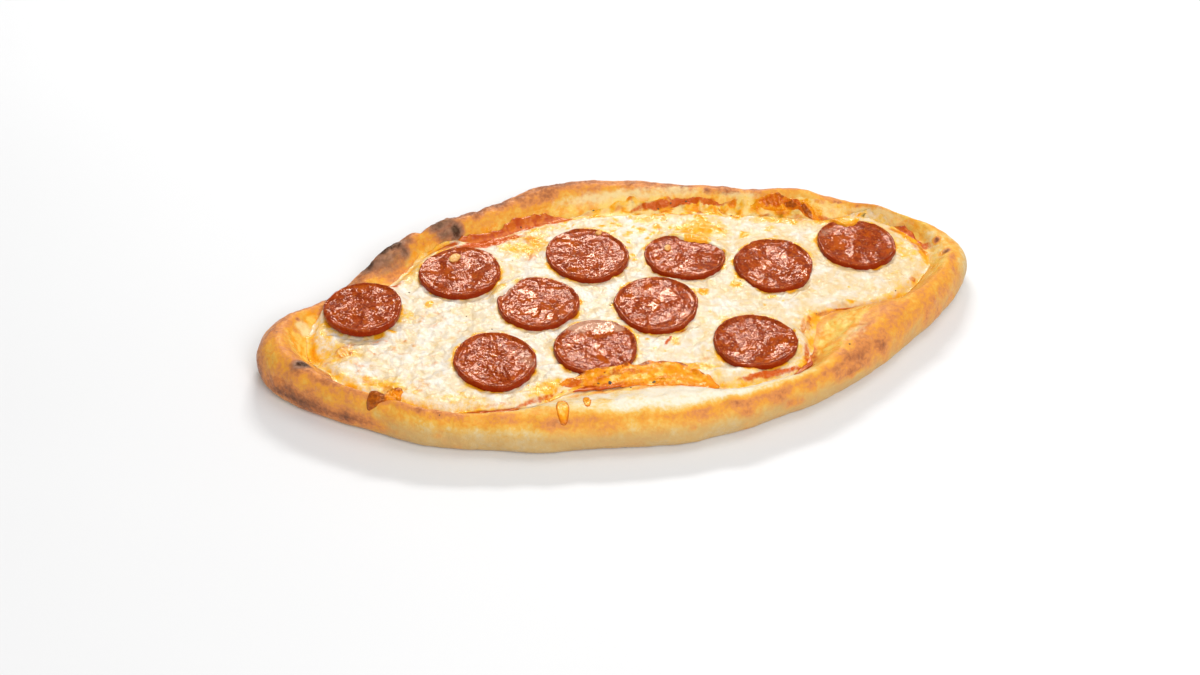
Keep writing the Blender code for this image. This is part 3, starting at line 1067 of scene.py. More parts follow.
@dataclass(frozen=True)
class SausageFinish:
    """Baked cured sausage: granular, deep red-brown with lighter fat, wet with its own oil."""

    lean: Colour = (0.21, 0.022, 0.003)
    meat: Colour = (0.35, 0.048, 0.006)
    fat: Colour = (0.60, 0.17, 0.03)
    rind: Colour = (0.25, 0.016, 0.001)
    oil: Colour = (0.46, 0.080, 0.002)
    milky: Colour = (0.66, 0.40, 0.26)
    shine: Colour = (1.0, 0.53, 0.27)
    # Roughness of the meat and of a puddle of oil.
    roughness: tuple[float, float] = (0.13, 0.07)

    def material(self) -> bpy.types.Material:
        """Mix the sausage's colours, with its grains and its wet glints.

        Returns:
            The material.
        """
        recipe = start_material("baked_sausage")
        puddle = recipe.mask("puddle")
        colour = recipe.mix(recipe.mottle(2.6, 4, 5, low=0.38, high=0.62), self.lean, self.meat)
        colour = recipe.lay(colour, recipe.mottle(0.9, 5, 3, low=0.56, high=0.68), self.fat, 0.6)
        colour = recipe.lay(colour, recipe.mask("edge"), self.rind, 0.85)
        colour = recipe.lay(colour, puddle, self.oil, 0.7)
        film = recipe.ragged(recipe.mask("film"), 1.6, amount=0.6, softness=0.4)
        colour = recipe.lay(colour, film, self.milky, 0.6)
        level = recipe.range(puddle, 0.2, 0.8, 0.8, 0.45)
        glint = recipe.bump(recipe.effect(Effect.PEBBLES, Size=1.1), 0.06, level)
        glint = recipe.bump(recipe.mottle(1.8, 3, 2, low=0.1, high=0.9), 0.13, level, glint)
        grit = recipe.mottle(0.9, seed=9, detail=3)
        glint = recipe.bump(grit, 0.035, recipe.range(puddle, 0.2, 0.8, 0.8, 0.25), glint)
        wet = recipe.range(puddle, 0.0, 1.0, *self.roughness)
        return end_material(
            recipe, "baked_sausage", Base_Color=colour, Roughness=wet, Normal=glint,
            Specular_IOR_Level=0.25, Specular_Tint=self.shine,
        )


@dataclass(frozen=True)
class SpeckFinish:
    """Small dry things in two mixed colours. Patches and ridges are as Recipe.mottle reads them."""

    name: str
    first: Colour
    second: Colour
    patches: Sequence[float]
    ridges: Sequence[float]
    depth: float
    roughness: float

    def material(self) -> bpy.types.Material:
        """Mix the colours.

        Returns:
            The material.
        """
        recipe = start_material(self.name)
        colour = recipe.mix(recipe.mottle(*self.patches), self.first, self.second)
        ridges = recipe.bump(recipe.mottle(*self.ridges), self.depth, 0.6)
        return end_material(
            recipe, self.name, Base_Color=colour, Normal=ridges, Roughness=self.roughness
        )


# Baked seeds are yellow-beige and glossy. Dried herb and pepper are nearly black, with some olive brown.
SEED_FINISH = SpeckFinish(
    "baked_seed", (0.90, 0.52, 0.16), (0.70, 0.28, 0.05), (1.4, 2, 4, 0.35, 0.7), (0.6, 1, 3), 0.15, 0.3
)
FLECK_FINISH = SpeckFinish(
    "herb_flecks", (0.035, 0.022, 0.014), (0.13, 0.075, 0.022), (7, 2, 2, 0.45, 0.55), (0.4, 1, 2), 0.1, 0.55
)


# -------- The dough boat --------


@dataclass
class DoughBoat:
    """The baked dough, from its flat bottom round its side, over the rim and down under the sauce."""

    plan: BoatPlan
    segments: int = 760
    rings: int = 100
    inset: float = 0.4
    lumps: float = 0.65
    small_lumps: float = 0.32
    wrinkles: float = 0.26
    crackle: float = 0.35
    crackle_size: float = 3.0
    # Bubbles: how many, between which shares of the way up, their radii (the least, and how much more the
    # largest has) and their rise as a share of the radius.
    bubbles: int = 90
    bubble_zone: tuple[float, float] = (0.24, 0.80)
    bubble_radii: tuple[float, float] = (1.3, 3.2)
    bubble_rise: tuple[float, float] = (0.07, 0.16)
    seed: int = 11
    # Shares of the way up the shell where the bottom, its round, the side and the slope end.
    zones: tuple[float, float, float, float] = (0.07, 0.18, 0.50, 0.88)
    # Baking round the rim: x and y of a place near it, then how far the low side, the middle of the
    # side, its upper edge, the crest and the inner slope are baked. Some values also paint light and shade.
    bake: Table = (
        (155, 0, 0.36, 0.36, 0.34, 0.46, 0.28), (130, 35, 0.38, 0.42, 0.44, 0.44, 0.34),
        (90, 58, 0.38, 0.44, 0.54, 0.6, 0.42), (40, 75, 0.38, 0.42, 0.54, 0.62, 0.35),
        (0, 84, 0.38, 0.42, 0.54, 0.64, 0.37), (-30, 80, 0.42, 0.5, 0.66, 0.75, 0.4),
        (-60, 69, 0.42, 0.54, 0.7, 0.72, 0.46), (-85, 58, 0.42, 0.54, 0.66, 0.68, 0.4),
        (-110, 42, 0.46, 0.58, 0.7, 0.72, 0.52), (-140, 18, 0.52, 0.58, 0.6, 0.62, 0.5),
        # At the left end the low side is baked darker: partly real browning and partly painted shade.
        (-155, -8, 0.62, 0.5, 0.52, 0.58, 0.46), (-135, -38, 0.78, 0.54, 0.5, 0.6, 0.46),
        (-118, -52, 0.72, 0.48, 0.46, 0.58, 0.4), (-100, -62, 0.38, 0.36, 0.46, 0.6, 0.34),
        # Along the near side the crest and inner slope are baked least, pale cream: partly the dough's own
        # colour and partly a painted highlight.
        (-60, -75, 0.3, 0.36, 0.55, 0.42, 0.1), (-20, -82, 0.28, 0.38, 0.52, 0.1, 0.02),
        (30, -82, 0.28, 0.38, 0.52, 0.08, 0), (70, -70, 0.32, 0.47, 0.6, 0.38, 0.24),
        (100, -55, 0.52, 0.58, 0.6, 0.56, 0.54), (135, -30, 0.5, 0.46, 0.44, 0.46, 0.4),
    )
    # The same for the underside's middle and edge.
    underside_bake: Sequence[float] = (0.42, 0.30)
    # Shares of the way up the shell at which the underside's two values, then the table's columns, hold,
    # its last one twice.
    bake_shares: Sequence[float] = (0, 0.07, 0.19, 0.30, 0.385, 0.475, 0.62, 1)
    char_marks: Table = (
        (-94, 46.5, 18.8, 10, 3.4, 22, 1.05), (-104, 42.8, 13.8, 4.4, 4.4, 40, 1),
        (-87, 45.2, 16, 3, 3.4, 10, 0.88), (-95, 42.8, 16, 9, 4.6, 24, 0.8),
        (-94, 39.2, 13.2, 9, 1.8, 26, 0.55), (-67.5, 55, 16.6, 5.5, 3.2, 18, 0.85),
        (-69, 58, 19, 6.5, 3.4, 18, 1), (-63, 55, 16.5, 3.4, 4.6, 20, 1),
        (-61.5, 51.5, 13, 2, 3.2, 20, 0.85), (-136.8, -23.6, 19.6, 5.4, 2.7, 14, 1.05),
    )
    toast_marks: Table = (
        (-89, 43, 15.5, 4, 2.6, 40, 0.74), (-84.5, 45, 14, 2.2, 1.8, 20, 0.66),
        (-96, 43, 16, 13, 6.5, 26, 0.7), (-104, 39, 13, 7, 3.5, 38, 0.62),
        (-19.6, 72, 19, 13, 6, 4, 0.7), (-29, 69.5, 18.5, 6, 4.5, 10, 0.62),
        (-52.3, 61, 18, 3.6, 3, 0, 0.7), (-45, 64, 18, 5, 3, 15, 0.55),
        (18.8, 70.5, 18.7, 2.2, 3, 0, 0.62), (20, 66.3, 16.6, 2, 1.6, 0, 0.6),
        (27, 67, 17, 1.6, 1.6, 0, 0.55), (53.1, 60.7, 17.7, 2.2, 3.4, 10, 0.76),
        (66, 56.6, 18, 2.2, 3.2, 10, 0.7), (91, 50.5, 19.6, 1.2, 1, 0, 0.85),
        (108.8, 40.4, 16.6, 3.2, 2, -20, 0.68), (116.8, 37.1, 15.5, 2.4, 1.8, -20, 0.6),
        (-136, -34.5, 13.4, 6, 5, -38, 0.66), (-125, -47, 11, 4, 4, -38, 0.62),
        (-152.1, -12.8, 13, 6, 9, 10, 0.54), (-130, -34.6, 18.9, 11, 4.5, -36, 0.68),
        (-148, -24, 5, 8, 4, -50, 0.54), (-110, -49, 18.4, 12, 3.5, -32, 0.52),
        (-145.7, -2, 19.8, 0.7, 0.6, 0, 1), (-91, -65.6, 8.9, 4.5, 2.8, -18, 0.46),
        (-35.9, -77, 13.5, 3.6, 2.5, 0, 0.46), (5.7, -83.9, 10.5, 3.4, 2.4, 0, 0.46),
        (28.3, -82.2, 6.8, 5.4, 2.4, 12, 0.42), (49.6, -76.9, 9.4, 6, 3.8, 18, 0.6),
        (78, -66, 11.5, 8, 4, 25, 0.64), (104.3, -43, 18, 13, 6, 34, 0.56),
        (118, -38, 17, 10, 5, 38, 0.48), (142.8, 6, 14.7, 3, 1.9, 30, 0.84),
        (142.7, -3.3, 15.5, 3.6, 1.9, 5, 0.86), (142, -16.6, 16.2, 6, 4, 40, 0.5),
        (153, 8, 12, 2.4, 1.8, 60, 0.9), (-136.4, 10.2, 15.2, 3.6, 1.3, -8, 0.82),
        (-82, -66, 16, 24, 2.6, -18, 0.44), (-10, -80.5, 15, 30, 2.6, -3, 0.42),
        (40, -77, 15, 26, 2.6, 10, 0.42), (97, 62, 8, 12, 6, -30, 0.5), (30, 79, 9, 20, 5, -15, 0.5),
        (-70, 66, 10, 16, 5, 25, 0.56), (-148, 12, 10, 9, 5, 45, 0.55),
    )
    oil_marks: Table = (
        (80, -40.5, 15, 17, 8.5, 26, 0.95), (72, -50, 14, 7, 10, 20, 0.8), (-136, -4, 12, 6.5, 8, 0, 1),
        (-130, 12, 12, 8, 4, -50, 0.8), (5, 63, 13, 36, 4.5, -3, 0.7), (60, 54, 13, 28, 5, -18, 0.8),
        (100, 41, 13, 14, 4, -20, 0.7), (-40, 57.5, 13, 22, 4, 14, 0.75), (-80, 46, 13, 12, 4, 38, 0.5),
        (-112, -39, 13, 22, 4, -32, 0.8), (-75, -58, 13, 20, 2.6, -12, 0.6),
        (-12, -56, 12.5, 34, 4, -3, 0.9), (45, -64, 13, 22, 3.4, 6, 0.6), (136, 22, 12, 6, 10, 35, 0.6),
        (137, -8, 12, 5, 12, -20, 0.5),
    )
    stain_marks: Table = (
        (-38.4, 57.2, 12, 20, 1.9, 14, 0.9), (-58, 51.8, 12, 8, 2, 8, 0.75),
        (45, 59, 13.5, 18, 1.9, -7, 0.95), (-88, 38, 13.5, 6, 2.6, 36, 0.8),
        (136, 12, 11.5, 1.6, 10, 30, 0.7), (22, 61, 12, 8, 1.4, -5, 0.5),
        (58, -62, 12, 9, 1.3, 12, 0.8), (66.5, -51, 11, 1.6, 8, -12, 0.55),
        (-62, -59.3, 12, 16, 0.9, -2, 0.4), (30, -65, 12, 10, 1.1, 4, 0.7),
        (-112, 24, 12, 10, 2, 24, 0.6),
    )
    melt_marks: Table = (
        (12, 66, 15, 24, 4.2, -4, 0.85), (40, 64, 16, 12, 3.2, -12, 0.7), (66, 54, 15, 9, 4, -14, 0.8),
        (126, 30, 13, 14, 3.2, -32, 0.85), (-134, 7, 12.5, 4.5, 4, 0, 0.8),
        (80, -49, 16, 11, 5, 25, 0.55), (-70, -61, 13, 24, 2, -10, 0.5),
        (108, 39, 14, 6, 2.2, -20, 0.6),
    )
    creases: Table = (
        (-24, 65.6, 14.6, 8, 0.7, 10, -0.7), (-10, 67.2, 15, 5, 0.6, 0, -0.5),
        (79, -66, 10, 8.5, 0.8, 26, -0.8), (71, -70, 10, 3.5, 0.6, 20, -0.5),
        (-146.9, -24.1, 13.1, 4, 1, -50, -0.5), (-124, -38, 17, 7, 1.6, -38, -0.4),
        (78, -38, 15, 7, 1, 62, 0.5), (88, -41, 16, 8, 0.9, 40, 0.45), (95, -35, 15, 7, 0.8, 22, 0.4),
        (72, -46, 14, 6, 0.9, 76, 0.45), (82, -47, 16, 5, 0.8, 30, 0.4),
        (-78, 55, 17, 1.6, 7, 20, -1.2), (-51, 66, 18, 2, 7, 20, -0.8),
    )

    def places(self, turns: Array, rises: Array) -> Array:
        """Places on the boat's skin.

        Args:
            turns: How far round.
            rises: How far up.

        Returns:
            The places.
        """
        plan = self.plan
        fine = np.linspace(-math.pi, math.pi, LOOP_STEPS)
        halfway = (plan.outline_radius(fine) + plan.foot_radius(fine)) / 2
        along = run_lengths(places(halfway, fine))
        angles = np.interp(turns * along[-1], along, fine)
        outline, foot = plan.outline_radius(angles), plan.foot_radius(angles)
        crest = plan.crest_radius(angles)
        bottom, rounded, side, slope = self.zones
        turn = np.clip((rises - bottom) / (rounded - bottom), 0, 1) * math.pi / 2
        lean = (1 - np.clip((rises - rounded) / (side - rounded), 0, 1)) * math.pi / 2
        down = np.clip((rises - side) / (slope - side), 0, 1)
        inside = np.clip((rises - slope) / (1 - slope), 0, 1)
        radii = np.select(
            [rises <= bottom, rises <= rounded, rises <= side, rises <= slope],
            [
                (outline - plan.bottom_inset) * np.clip(rises / bottom, 0, 1),
                outline - plan.bottom_inset * (1 - np.sin(turn)),
                crest + (outline - crest) * np.sin(lean),
                crest + (foot - crest) * down,
            ],
            foot * (1 - inside),
        )
        low = plan.bulge * (1 - np.cos(turn))
        heights = np.where(rises <= rounded, low, plan.dough_height(radii, angles))
        return at_height(places(radii, angles), heights)

    def baking(self, points: Array, rises: Array) -> Array:
        """How far the dough is baked, apart from its marks.

        Args:
            points: Places on the skin.
            rises: How far up.

        Returns:
            The baking, from 0 to 1.
        """
        loop = smooth_loop(self.bake)
        angles = polar(points)[1]
        columns = [np.full(len(points), share) for share in self.underside_bake]
        columns += [around(loop, loop[:, i], angles) for i in (2, 3, 4, 5, 6, 6)]
        total = np.zeros(len(points))
        for i, column in enumerate(columns):
            total += column * np.interp(rises, self.bake_shares, np.eye(len(columns))[i])
        return total

    def random_bubbles(self, points: Array, rises: Array) -> Table:
        """Pick small bubbles on the side, the crest and the slope.

        Args:
            points: Places on the skin.
            rises: How far up.

        Returns:
            Middle, radius and height of each bubble.
        """
        draw = np.random.default_rng(self.seed)
        lowest, highest = self.bubble_zone
        there = np.where((rises > lowest) & (rises < highest))[0]
        chosen = points[draw.choice(there, self.bubbles, replace=False)]
        smallest, growth = self.bubble_radii
        radii = smallest + growth * draw.random(self.bubbles) ** 2
        return np.column_stack([chosen, radii, radii * draw.uniform(*self.bubble_rise, self.bubbles)])

    def build(self) -> Thing:
        """Shape the boat and keep its masks.

        Returns:
            The piece.
        """
        piece, turns, rises = Bench.shell("dough_boat", self.segments, self.rings)
        rises = Bench.wrap(piece, self.places(turns, rises), rises)[0]
        skin, outward = Bench.points(piece), Bench.normals(piece)
        bottom, rounded, _, slope = self.zones
        free = smooth_step((rises - bottom) / (rounded - bottom)) * smooth_step((slope - rises) / 0.12)
        ragged = 0.3 * clouds(skin, 5, 1)
        char = spread(skin, self.char_marks, 0.6 * ragged, 1.5)
        marked = spread(skin, self.toast_marks, 0.8 * ragged, 1.9)
        halo = 0.74 * spread(skin, self.char_marks, 0.8 * ragged - 0.6, 2.4)
        base = self.baking(skin, rises) + 0.11 * clouds(skin, 22, 2, 2) + 0.10 * clouds(skin, 7, 3)
        bubbles = domes(skin, self.random_bubbles(skin, rises))
        toast = np.maximum(base, np.maximum(marked, halo) + 0.06 * clouds(skin, 3, 4, 2)) + 0.2 * bubbles
        relief = self.lumps * clouds(skin, 17, 5) + self.small_lumps * clouds(skin, 6, 6, 2)
        relief += self.wrinkles * smooth_step((toast - 0.45) / 0.3) * clouds(skin, 2.2, 7)
        relief += bubbles + self.crackle * smooth_step(char * 2) * clouds(skin, self.crackle_size, 8)
        relief += raised(skin, self.creases)
        shaped = skin + outward * ((relief - self.inset) * free)[:, None]
        Bench.move(piece, Bench.inside_box(shaped))
        Bench.masks(
            piece,
            toast=toast,
            char=char,
            # Painted shade on the low side, strongest near the bottom and where the dough is little baked.
            low=0.75 * smooth_step((0.36 - rises) / 0.16) * smooth_step((0.6 - toast) / 0.25),
            oil=spread(skin, self.oil_marks, ragged) * free,
            stain=spread(skin, self.stain_marks, ragged),
            melt=spread(skin, self.melt_marks, ragged),
        )
        return piece

    def dress(self, piece: Thing) -> None:
        """Give the boat its baked finish."""
        Bench.hand_over(piece, DoughFinish().material(), "crust", "crust")


# -------- The sauce --------


@dataclass
class SauceLayer:
    """The tomato sauce, which shows in bands between the cheese and the rim."""

    plan: BoatPlan
    segments: int = 620
    rings: int = 34
    sink: float = 0.35
    lumps: float = 0.25
    # How far the edge waves in and out, and how far in it lies where the cheese hides it.
    waves: float = 1.1
    hidden_inset: float = 2.6

    def build(self) -> Thing:
        """Shape the layer.

        Returns:
            The piece.
        """
        piece, turns, rises = Bench.shell("sauce_layer", self.segments, self.rings)
        angles = turns * FULL_TURN - math.pi
        edge = self.plan.sauce_radius(angles)
        waves = self.waves * clouds(at_height(places(edge, angles)), 6, 21)
        edge = edge - self.hidden_inset * (1 - self.plan.sauce_show(angles)) + waves
        out = np.interp(rises, [0, 0.25, 0.30, 0.34, 0.70, 1], [0, 0.985, 1, 0.995, 0.86, 0])
        lift = np.interp(rises, [0, 0.25, 0.28, 0.30, 0.34, 1], [0, 0, 0.3, 0.7, 1, 1])
        radii = edge * out
        points = at_height(places(radii, angles), self.plan.dough_height(radii, angles))
        thick = self.plan.sauce_top + self.sink + self.lumps * clouds(points, 5, 22)
        points[:, 2] += lift * thick - self.sink
        Bench.wrap(piece, points)
        return piece

    def dress(self, piece: Thing) -> None:
        """Give the sauce its finish."""
        Bench.hand_over(piece, SauceFinish().material(), "sauce", "sauce")


# -------- The cheese --------


@dataclass
class CheeseSheet:
    """The melted cheese, with the beds of the slices, shreds that show, bubbles and oil."""

    plan: BoatPlan
    beds: Sequence[SliceBed]
    segments: int = 760
    rings: int = 104
    # Half length of the line that the rows run in to.
    spine: float = 76
    # Shares of the way up the shell where its underside and its edge end.
    under_share: float = 0.09
    edge_share: float = 0.15
    shreds: int = 300
    seed: int = 5
    # The direction in which the cheese stands up against the slices, in degrees.
    far_side: float = 84
    # How far the cheese's edge runs out over bare dough, how far it waves, and how far in it thins.
    tongue: float = 2.4
    waves: float = 1.2
    taper: float = 5.0
    # Its thickness there, over the dough and into it.
    skin: float = 0.1
    body: float = 0.6
    # How far from a slice its bed shapes the cheese, and how far its oil runs.
    bed_reach: float = 8
    oil_reach: float = 6
    # Radius of the rings on which the noise round a slice is read.
    noise_ring: float = 12
    # Half the square in which one shred is drawn.
    shred_reach: float = 26
    yellow_spots: int = 210
    oil_marks: Table = (
        (43.8, 40, 12, 8, -10, 0.75), (61.9, 31.2, 2.6, 1.8, 0, 0.9), (74, 32.5, 3.2, 1.6, 20, 0.7),
        (32.4, -4.3, 2.6, 2.4, 30, 1), (47.5, -2.7, 3, 1.6, -20, 0.8), (-35, 44, 11, 9, 0, 0.7),
        (62, 45.3, 5, 2.4, -20, 0.95), (2, 58.6, 7, 2.6, -5, 0.8), (-124, -12, 9, 8, -30, 0.7),
        (-108, -35, 12, 3.5, -34, 0.65), (127, 6, 6, 9, 20, 0.5), (-80, -50, 14, 3, -15, 0.5),
        (-45, -50, 9, 4, 8, 0.75), (76, -30, 6, 3, -50, 0.7), (-127, 5, 4, 8, 20, 0.7),
        (80, 39, 10, 3, -14, 0.7), (104, 33, 8, 3, -4, 0.7), (-91.8, 6, 3, 5, 20, 0.5),
        (24, 52, 10, 3, -6, 0.6), (118, -12, 6, 4, 30, 0.4), (-20, 54, 8, 3, 8, 0.55),
        (60, -48, 2, 7, -10, 0.5), (0, -49, 26, 3.5, -8, 0.9), (-98, -22, 18, 13, -30, 0.1),
        (-100, -36, 14, 5, -20, 0.26), (-73, 49.8, 8, 2.6, 26, 1), (109, 26, 7, 4.5, 0, 0.9),
        (133, 15, 2.6, 9, 28, 1), (136, 1, 2.4, 8, 0, 0.95), (130, -14, 2.6, 5, -30, 0.9),
        (104, 33, 9, 4, -10, 0.95), (-52, 15, 6, 3, 45, 0.6),
    )
    stain_marks: Table = (
        (-20, 59.2, 22, 1.5, 8, 0.8), (-50, 49.6, 15, 3, 8, 1.2), (-68, 50, 6, 2, 24, 0.8),
        (40, 53.2, 16, 1.6, -10, 0.6), (-69, -55.6, 12, 1, -4, 0.35), (-50, -55.6, 8, 1.2, 15, 0.6),
        (46, -60.5, 14, 1.4, 4, 0.85), (63, -52, 1.4, 6, -20, 0.6), (124, -14.2, 1.8, 1.2, 30, 0.6),
        (133, 8, 1.2, 8, 10, 0.45), (-100, 25, 10, 1.8, 26, 0.8), (-120, 15, 4, 3, 40, 0.5),
        (70, -34, 1.2, 6, -20, 0.5), (10.5, -32, 4.8, 0.7, 52, 0.8), (18, -27.5, 3, 0.7, 30, 0.7),
    )
    brown_marks: Table = (
        (-39.3, 49.7, 2.2, 1.4, 0, 0.55), (-30.8, 47.3, 2.6, 1.6, 0, 0.6),
        (-33.8, 34.6, 1.8, 3.2, 0, 0.62), (62, 45.5, 3.4, 1.6, -10, 0.7), (44, 55, 2.6, 1.4, 0, 0.5),
        (2, 59, 3.4, 1.3, 0, 0.6), (-120.4, -12.5, 1.8, 1.6, 0, 0.6), (-132.2, -3, 1.6, 1.6, 0, 0.12),
        (30, 50, 2, 1, 30, 0.4), (88, 37, 5, 1.6, -20, 0.6), (-92.6, -38.8, 2.4, 1.4, 0, 0.4),
        (80, -27.5, 7, 1.3, 12, 0.85), (22, -47, 1.8, 1.4, 0, 0.5), (97, -27, 6, 1.2, -2, 0.85),
        (67, -36, 1.3, 5, -20, 0.8), (-104, -40.5, 5, 1.4, -30, 0.6), (109, 25, 5, 2.2, 0, 0.6),
        (102, 30, 4, 2, 30, 0.7), (136, 6, 1.4, 4, 14, 0.8), (130, -14, 1.8, 3, -30, 0.85),
        (129, 20, 1.6, 4, 35, 0.75), (-118, -8, 3, 1.6, 20, 0.5), (-112, -32, 4, 1.2, -34, 0.5),
        (-106, -37, 2.4, 1.6, -30, 0.6),
    )
    # Ring bubbles: middle x and y, radius, height.
    rings_of_bubbles: Table = (
        (-39.3, 49.7, 2.4, 0.4), (-30.8, 47.3, 2.6, 0.5), (-33.8, 34.6, 2.2, 0.4),
        (-82.3, 1.5, 4.6, 0.35), (-96.2, -13.9, 4.2, 0.35), (-105.7, -11.8, 4.4, 0.35),
        (-112.3, -25.9, 3.8, 0.4), (-92.6, -38.8, 3, 0.4), (-120.4, -12.5, 2.6, 0.6),
        (-118.9, -20.7, 2.4, 0.4), (-126.7, -19.4, 2.6, 0.4), (-76, -8, 3.6, 0.25), (88, -8, 3.4, 0.2),
        (24, 44, 2.6, 0.3), (52, 40, 2.4, 0.3), (-88, -24, 3.4, 0.3),
    )
    folds: Table = (
        (12, -37, 7, 2.2, 48, 0.9), (18, -33, 5, 2, 60, 0.7), (6, -33, 4, 1.8, 20, 0.5),
        (31.7, -57, 8, 3, 5, 0.6), (61, -49, 2.2, 6, -10, 0.8), (-50, 20, 4, 2, 30, 0.6),
        (-128, 0, 2.2, 8, 10, 0.7), (-120, -16, 8, 3, -50, 0.5), (8, -52, 24, 3.2, -10, 0.6),
        (60, 46, 14, 3, -16, 0.7), (20, 55, 18, 3, -6, 0.5),
    )

    def places(self, turns: Array, rises: Array) -> tuple[Array, Array, Array]:
        """Plan places of the shell's rows, which run in from the edge to a line along the middle.

        Args:
            turns: How far round.
            rises: How far up.

        Returns:
            The places, how far in each is from the edge in millimetres, and how far up the edge.
        """
        fine = np.linspace(0, math.pi, LOOP_STEPS)
        half = np.minimum(turns, 1 - turns) * 2
        angles = np.empty(len(turns))
        for side, chosen in ((1, turns <= 0.5), (-1, turns > 0.5)):
            along = run_lengths(places(self.plan.foot_radius(fine * side), fine * side))
            angles[chosen] = side * np.interp(half[chosen] * along[-1], along, fine)
        radii = self.plan.foot_radius(angles)
        waves = self.waves * clouds(at_height(places(radii, angles)), 9, 31, 4)
        radii = radii + self.tongue * (1 - self.plan.sauce_show(angles)) + waves
        spine = np.column_stack([self.spine * np.clip(1.25 * (1 - 2 * half), -1, 1), np.zeros(len(half))])
        out = np.interp(rises, [0, self.under_share, self.edge_share, 1], [0, 1, 1, 0])
        up = np.interp(rises, [self.under_share, self.edge_share], [0, 1])
        reach = places(radii, angles) - spine
        return spine + reach * out[:, None], np.linalg.norm(reach, axis=1) * (1 - out), up

    def shred_relief(self, points: Array) -> Array:
        """Height of the shreds that still show in the cheese, from 0 to 1.

        Args:
            points: Places in millimetres.

        Returns:
            The height at each.
        """
        draw = np.random.default_rng(self.seed)
        total = np.zeros(len(points))
        for _ in range(self.shreds):
            angle = draw.uniform(-math.pi, math.pi)
            radius = self.plan.foot_radius(np.array([angle]))[0] * math.sqrt(draw.random()) * 0.96
            x, y = radius * math.cos(angle), radius * math.sin(angle)
            mark = (x, y, 0, draw.uniform(5, 12), draw.uniform(0.9, 1.7), draw.normal(0, 50), 1)
            near = np.where((np.abs(points[:, :2] - (x, y)) < self.shred_reach).all(axis=1))[0]
            height = draw.uniform(0.4, 1.0) * np.exp(-(mark_shares(points[near], mark) ** 2))
            total[near] = np.maximum(total[near], height)
        return total

    def bubble_rings(self, flat: Array, width: float) -> Array:
        """Height of the rings that burst bubbles left, whose lines are of the given width.

        Args:
            flat: Plan places.
            width: Width of the lines.

        Returns:
            The height at each.
        """
        total = np.zeros(len(flat))
        for x, y, radius, height in self.rings_of_bubbles:
            away = np.hypot(flat[:, 0] - x, flat[:, 1] - y)
            total = np.maximum(total, height * np.exp(-(((away - radius) / width) ** 2)))
        return total

    def bent(self, level: Array) -> Array:
        """Level places pushed sideways by soft noise, so that what is drawn on them runs in curves."""
        return level + 2.2 * at_height(np.column_stack([clouds(level, 14, 40 + i, 2) for i in range(2)]))

    def bedded(self, top: Array, flat: Array, bed: SliceBed) -> Array:
        """The cheese's upper side with the bed of one slice pressed into it.

        Args:
            top: Its heights before.
            flat: The plan places of these.
            bed: Where the slice lies.

        Returns:
            The heights after.
        """
        beyond, directions = bed.outside(flat)
        near = np.abs(beyond) < self.bed_reach
        ring = on_ring(directions, self.noise_ring, self.noise_ring * bed.number)
        uneven = np.zeros(len(flat))
        uneven[near] = clouds(ring[near], 7, 34, 2)
        far = 0.5 + 0.5 * np.cos(directions - math.radians(self.far_side))
        # A lip stands up against the slice's far side and the cheese sinks along its near side.
        past = np.maximum(beyond, 0)
        pull = smooth_step((far + 0.6 * uneven - 0.25) / 0.5) * np.exp(-((past / 2.6) ** 2))
        lip = bed.top(flat) - 0.35 + 0.5 * uneven
        top = top + np.where(near, np.maximum(lip - top, 0) * pull, 0)
        top -= np.where(near, 0.8 * smooth_step(0.7 - far) * np.exp(-((beyond / 2.0) ** 2)), 0)
        # Some cheese laps over the slice.
        lap = bed.lap(directions)
        lap += 0.35 * lap * uneven
        cover = smooth_step(beyond + lap) * np.exp(-((past / 2.8) ** 2))
        over = bed.top(flat) + 0.9 + 0.3 * clouds(at_height(flat), 3, 44, 2)
        top += np.where(near & (lap > 0.3), np.maximum(over - top, 0) * cover, 0)
        # The rest of the slice lies in a pocket.
        inside = smooth_step((-beyond - lap - 0.4) / 0.9)
        floor = np.minimum(bed.underside(flat) - 0.2, top)
        return np.where(beyond < 0, top + (floor - top) * inside, top)

    def build(self) -> Thing:
        """Shape the sheet and keep its masks.

        Returns:
            The piece.
        """
        piece, turns, rises = Bench.shell("melted_cheese", self.segments, self.rings)
        flat, inward, up = self.places(turns, rises)
        radii, angles = polar(flat)
        level = at_height(flat)
        inner = smooth_step(inward / 3.0)
        relief = 0.60 * clouds(level, 9, 32) + 0.45 * clouds(level, 3.4, 33)
        relief += 0.70 * self.shred_relief(self.bent(level))
        relief += raised(flat, self.folds) + 0.5 * self.bubble_rings(flat, 0.8)
        rounding = np.sqrt(np.clip(1 - (1 - inner) ** 2, 0, 1))
        held = np.minimum(radii, self.plan.foot_radius(angles))
        dough = self.plan.dough_height(radii, angles)
        base = self.plan.cheese_height(held, angles) + dough - self.plan.dough_height(held, angles)
        thin = 0.55 * (1 - inner) * (1 + clouds(level, 5, 39, 2))
        top = base + relief * (0.25 + 0.75 * inner) * rounding - thin
        merged = dough + self.skin + (top - dough - self.skin) * smooth_step(inward / self.taper)
        top += (merged - top) * (1 - self.plan.sauce_show(angles))
        for bed in self.beds:
            top = self.bedded(top, flat, bed)
        under = dough - self.body
        height = under + (np.maximum(top, under + self.body / 2) - under) * up
        Bench.wrap(piece, at_height(flat, height))
        self.keep_masks(piece)
        return piece

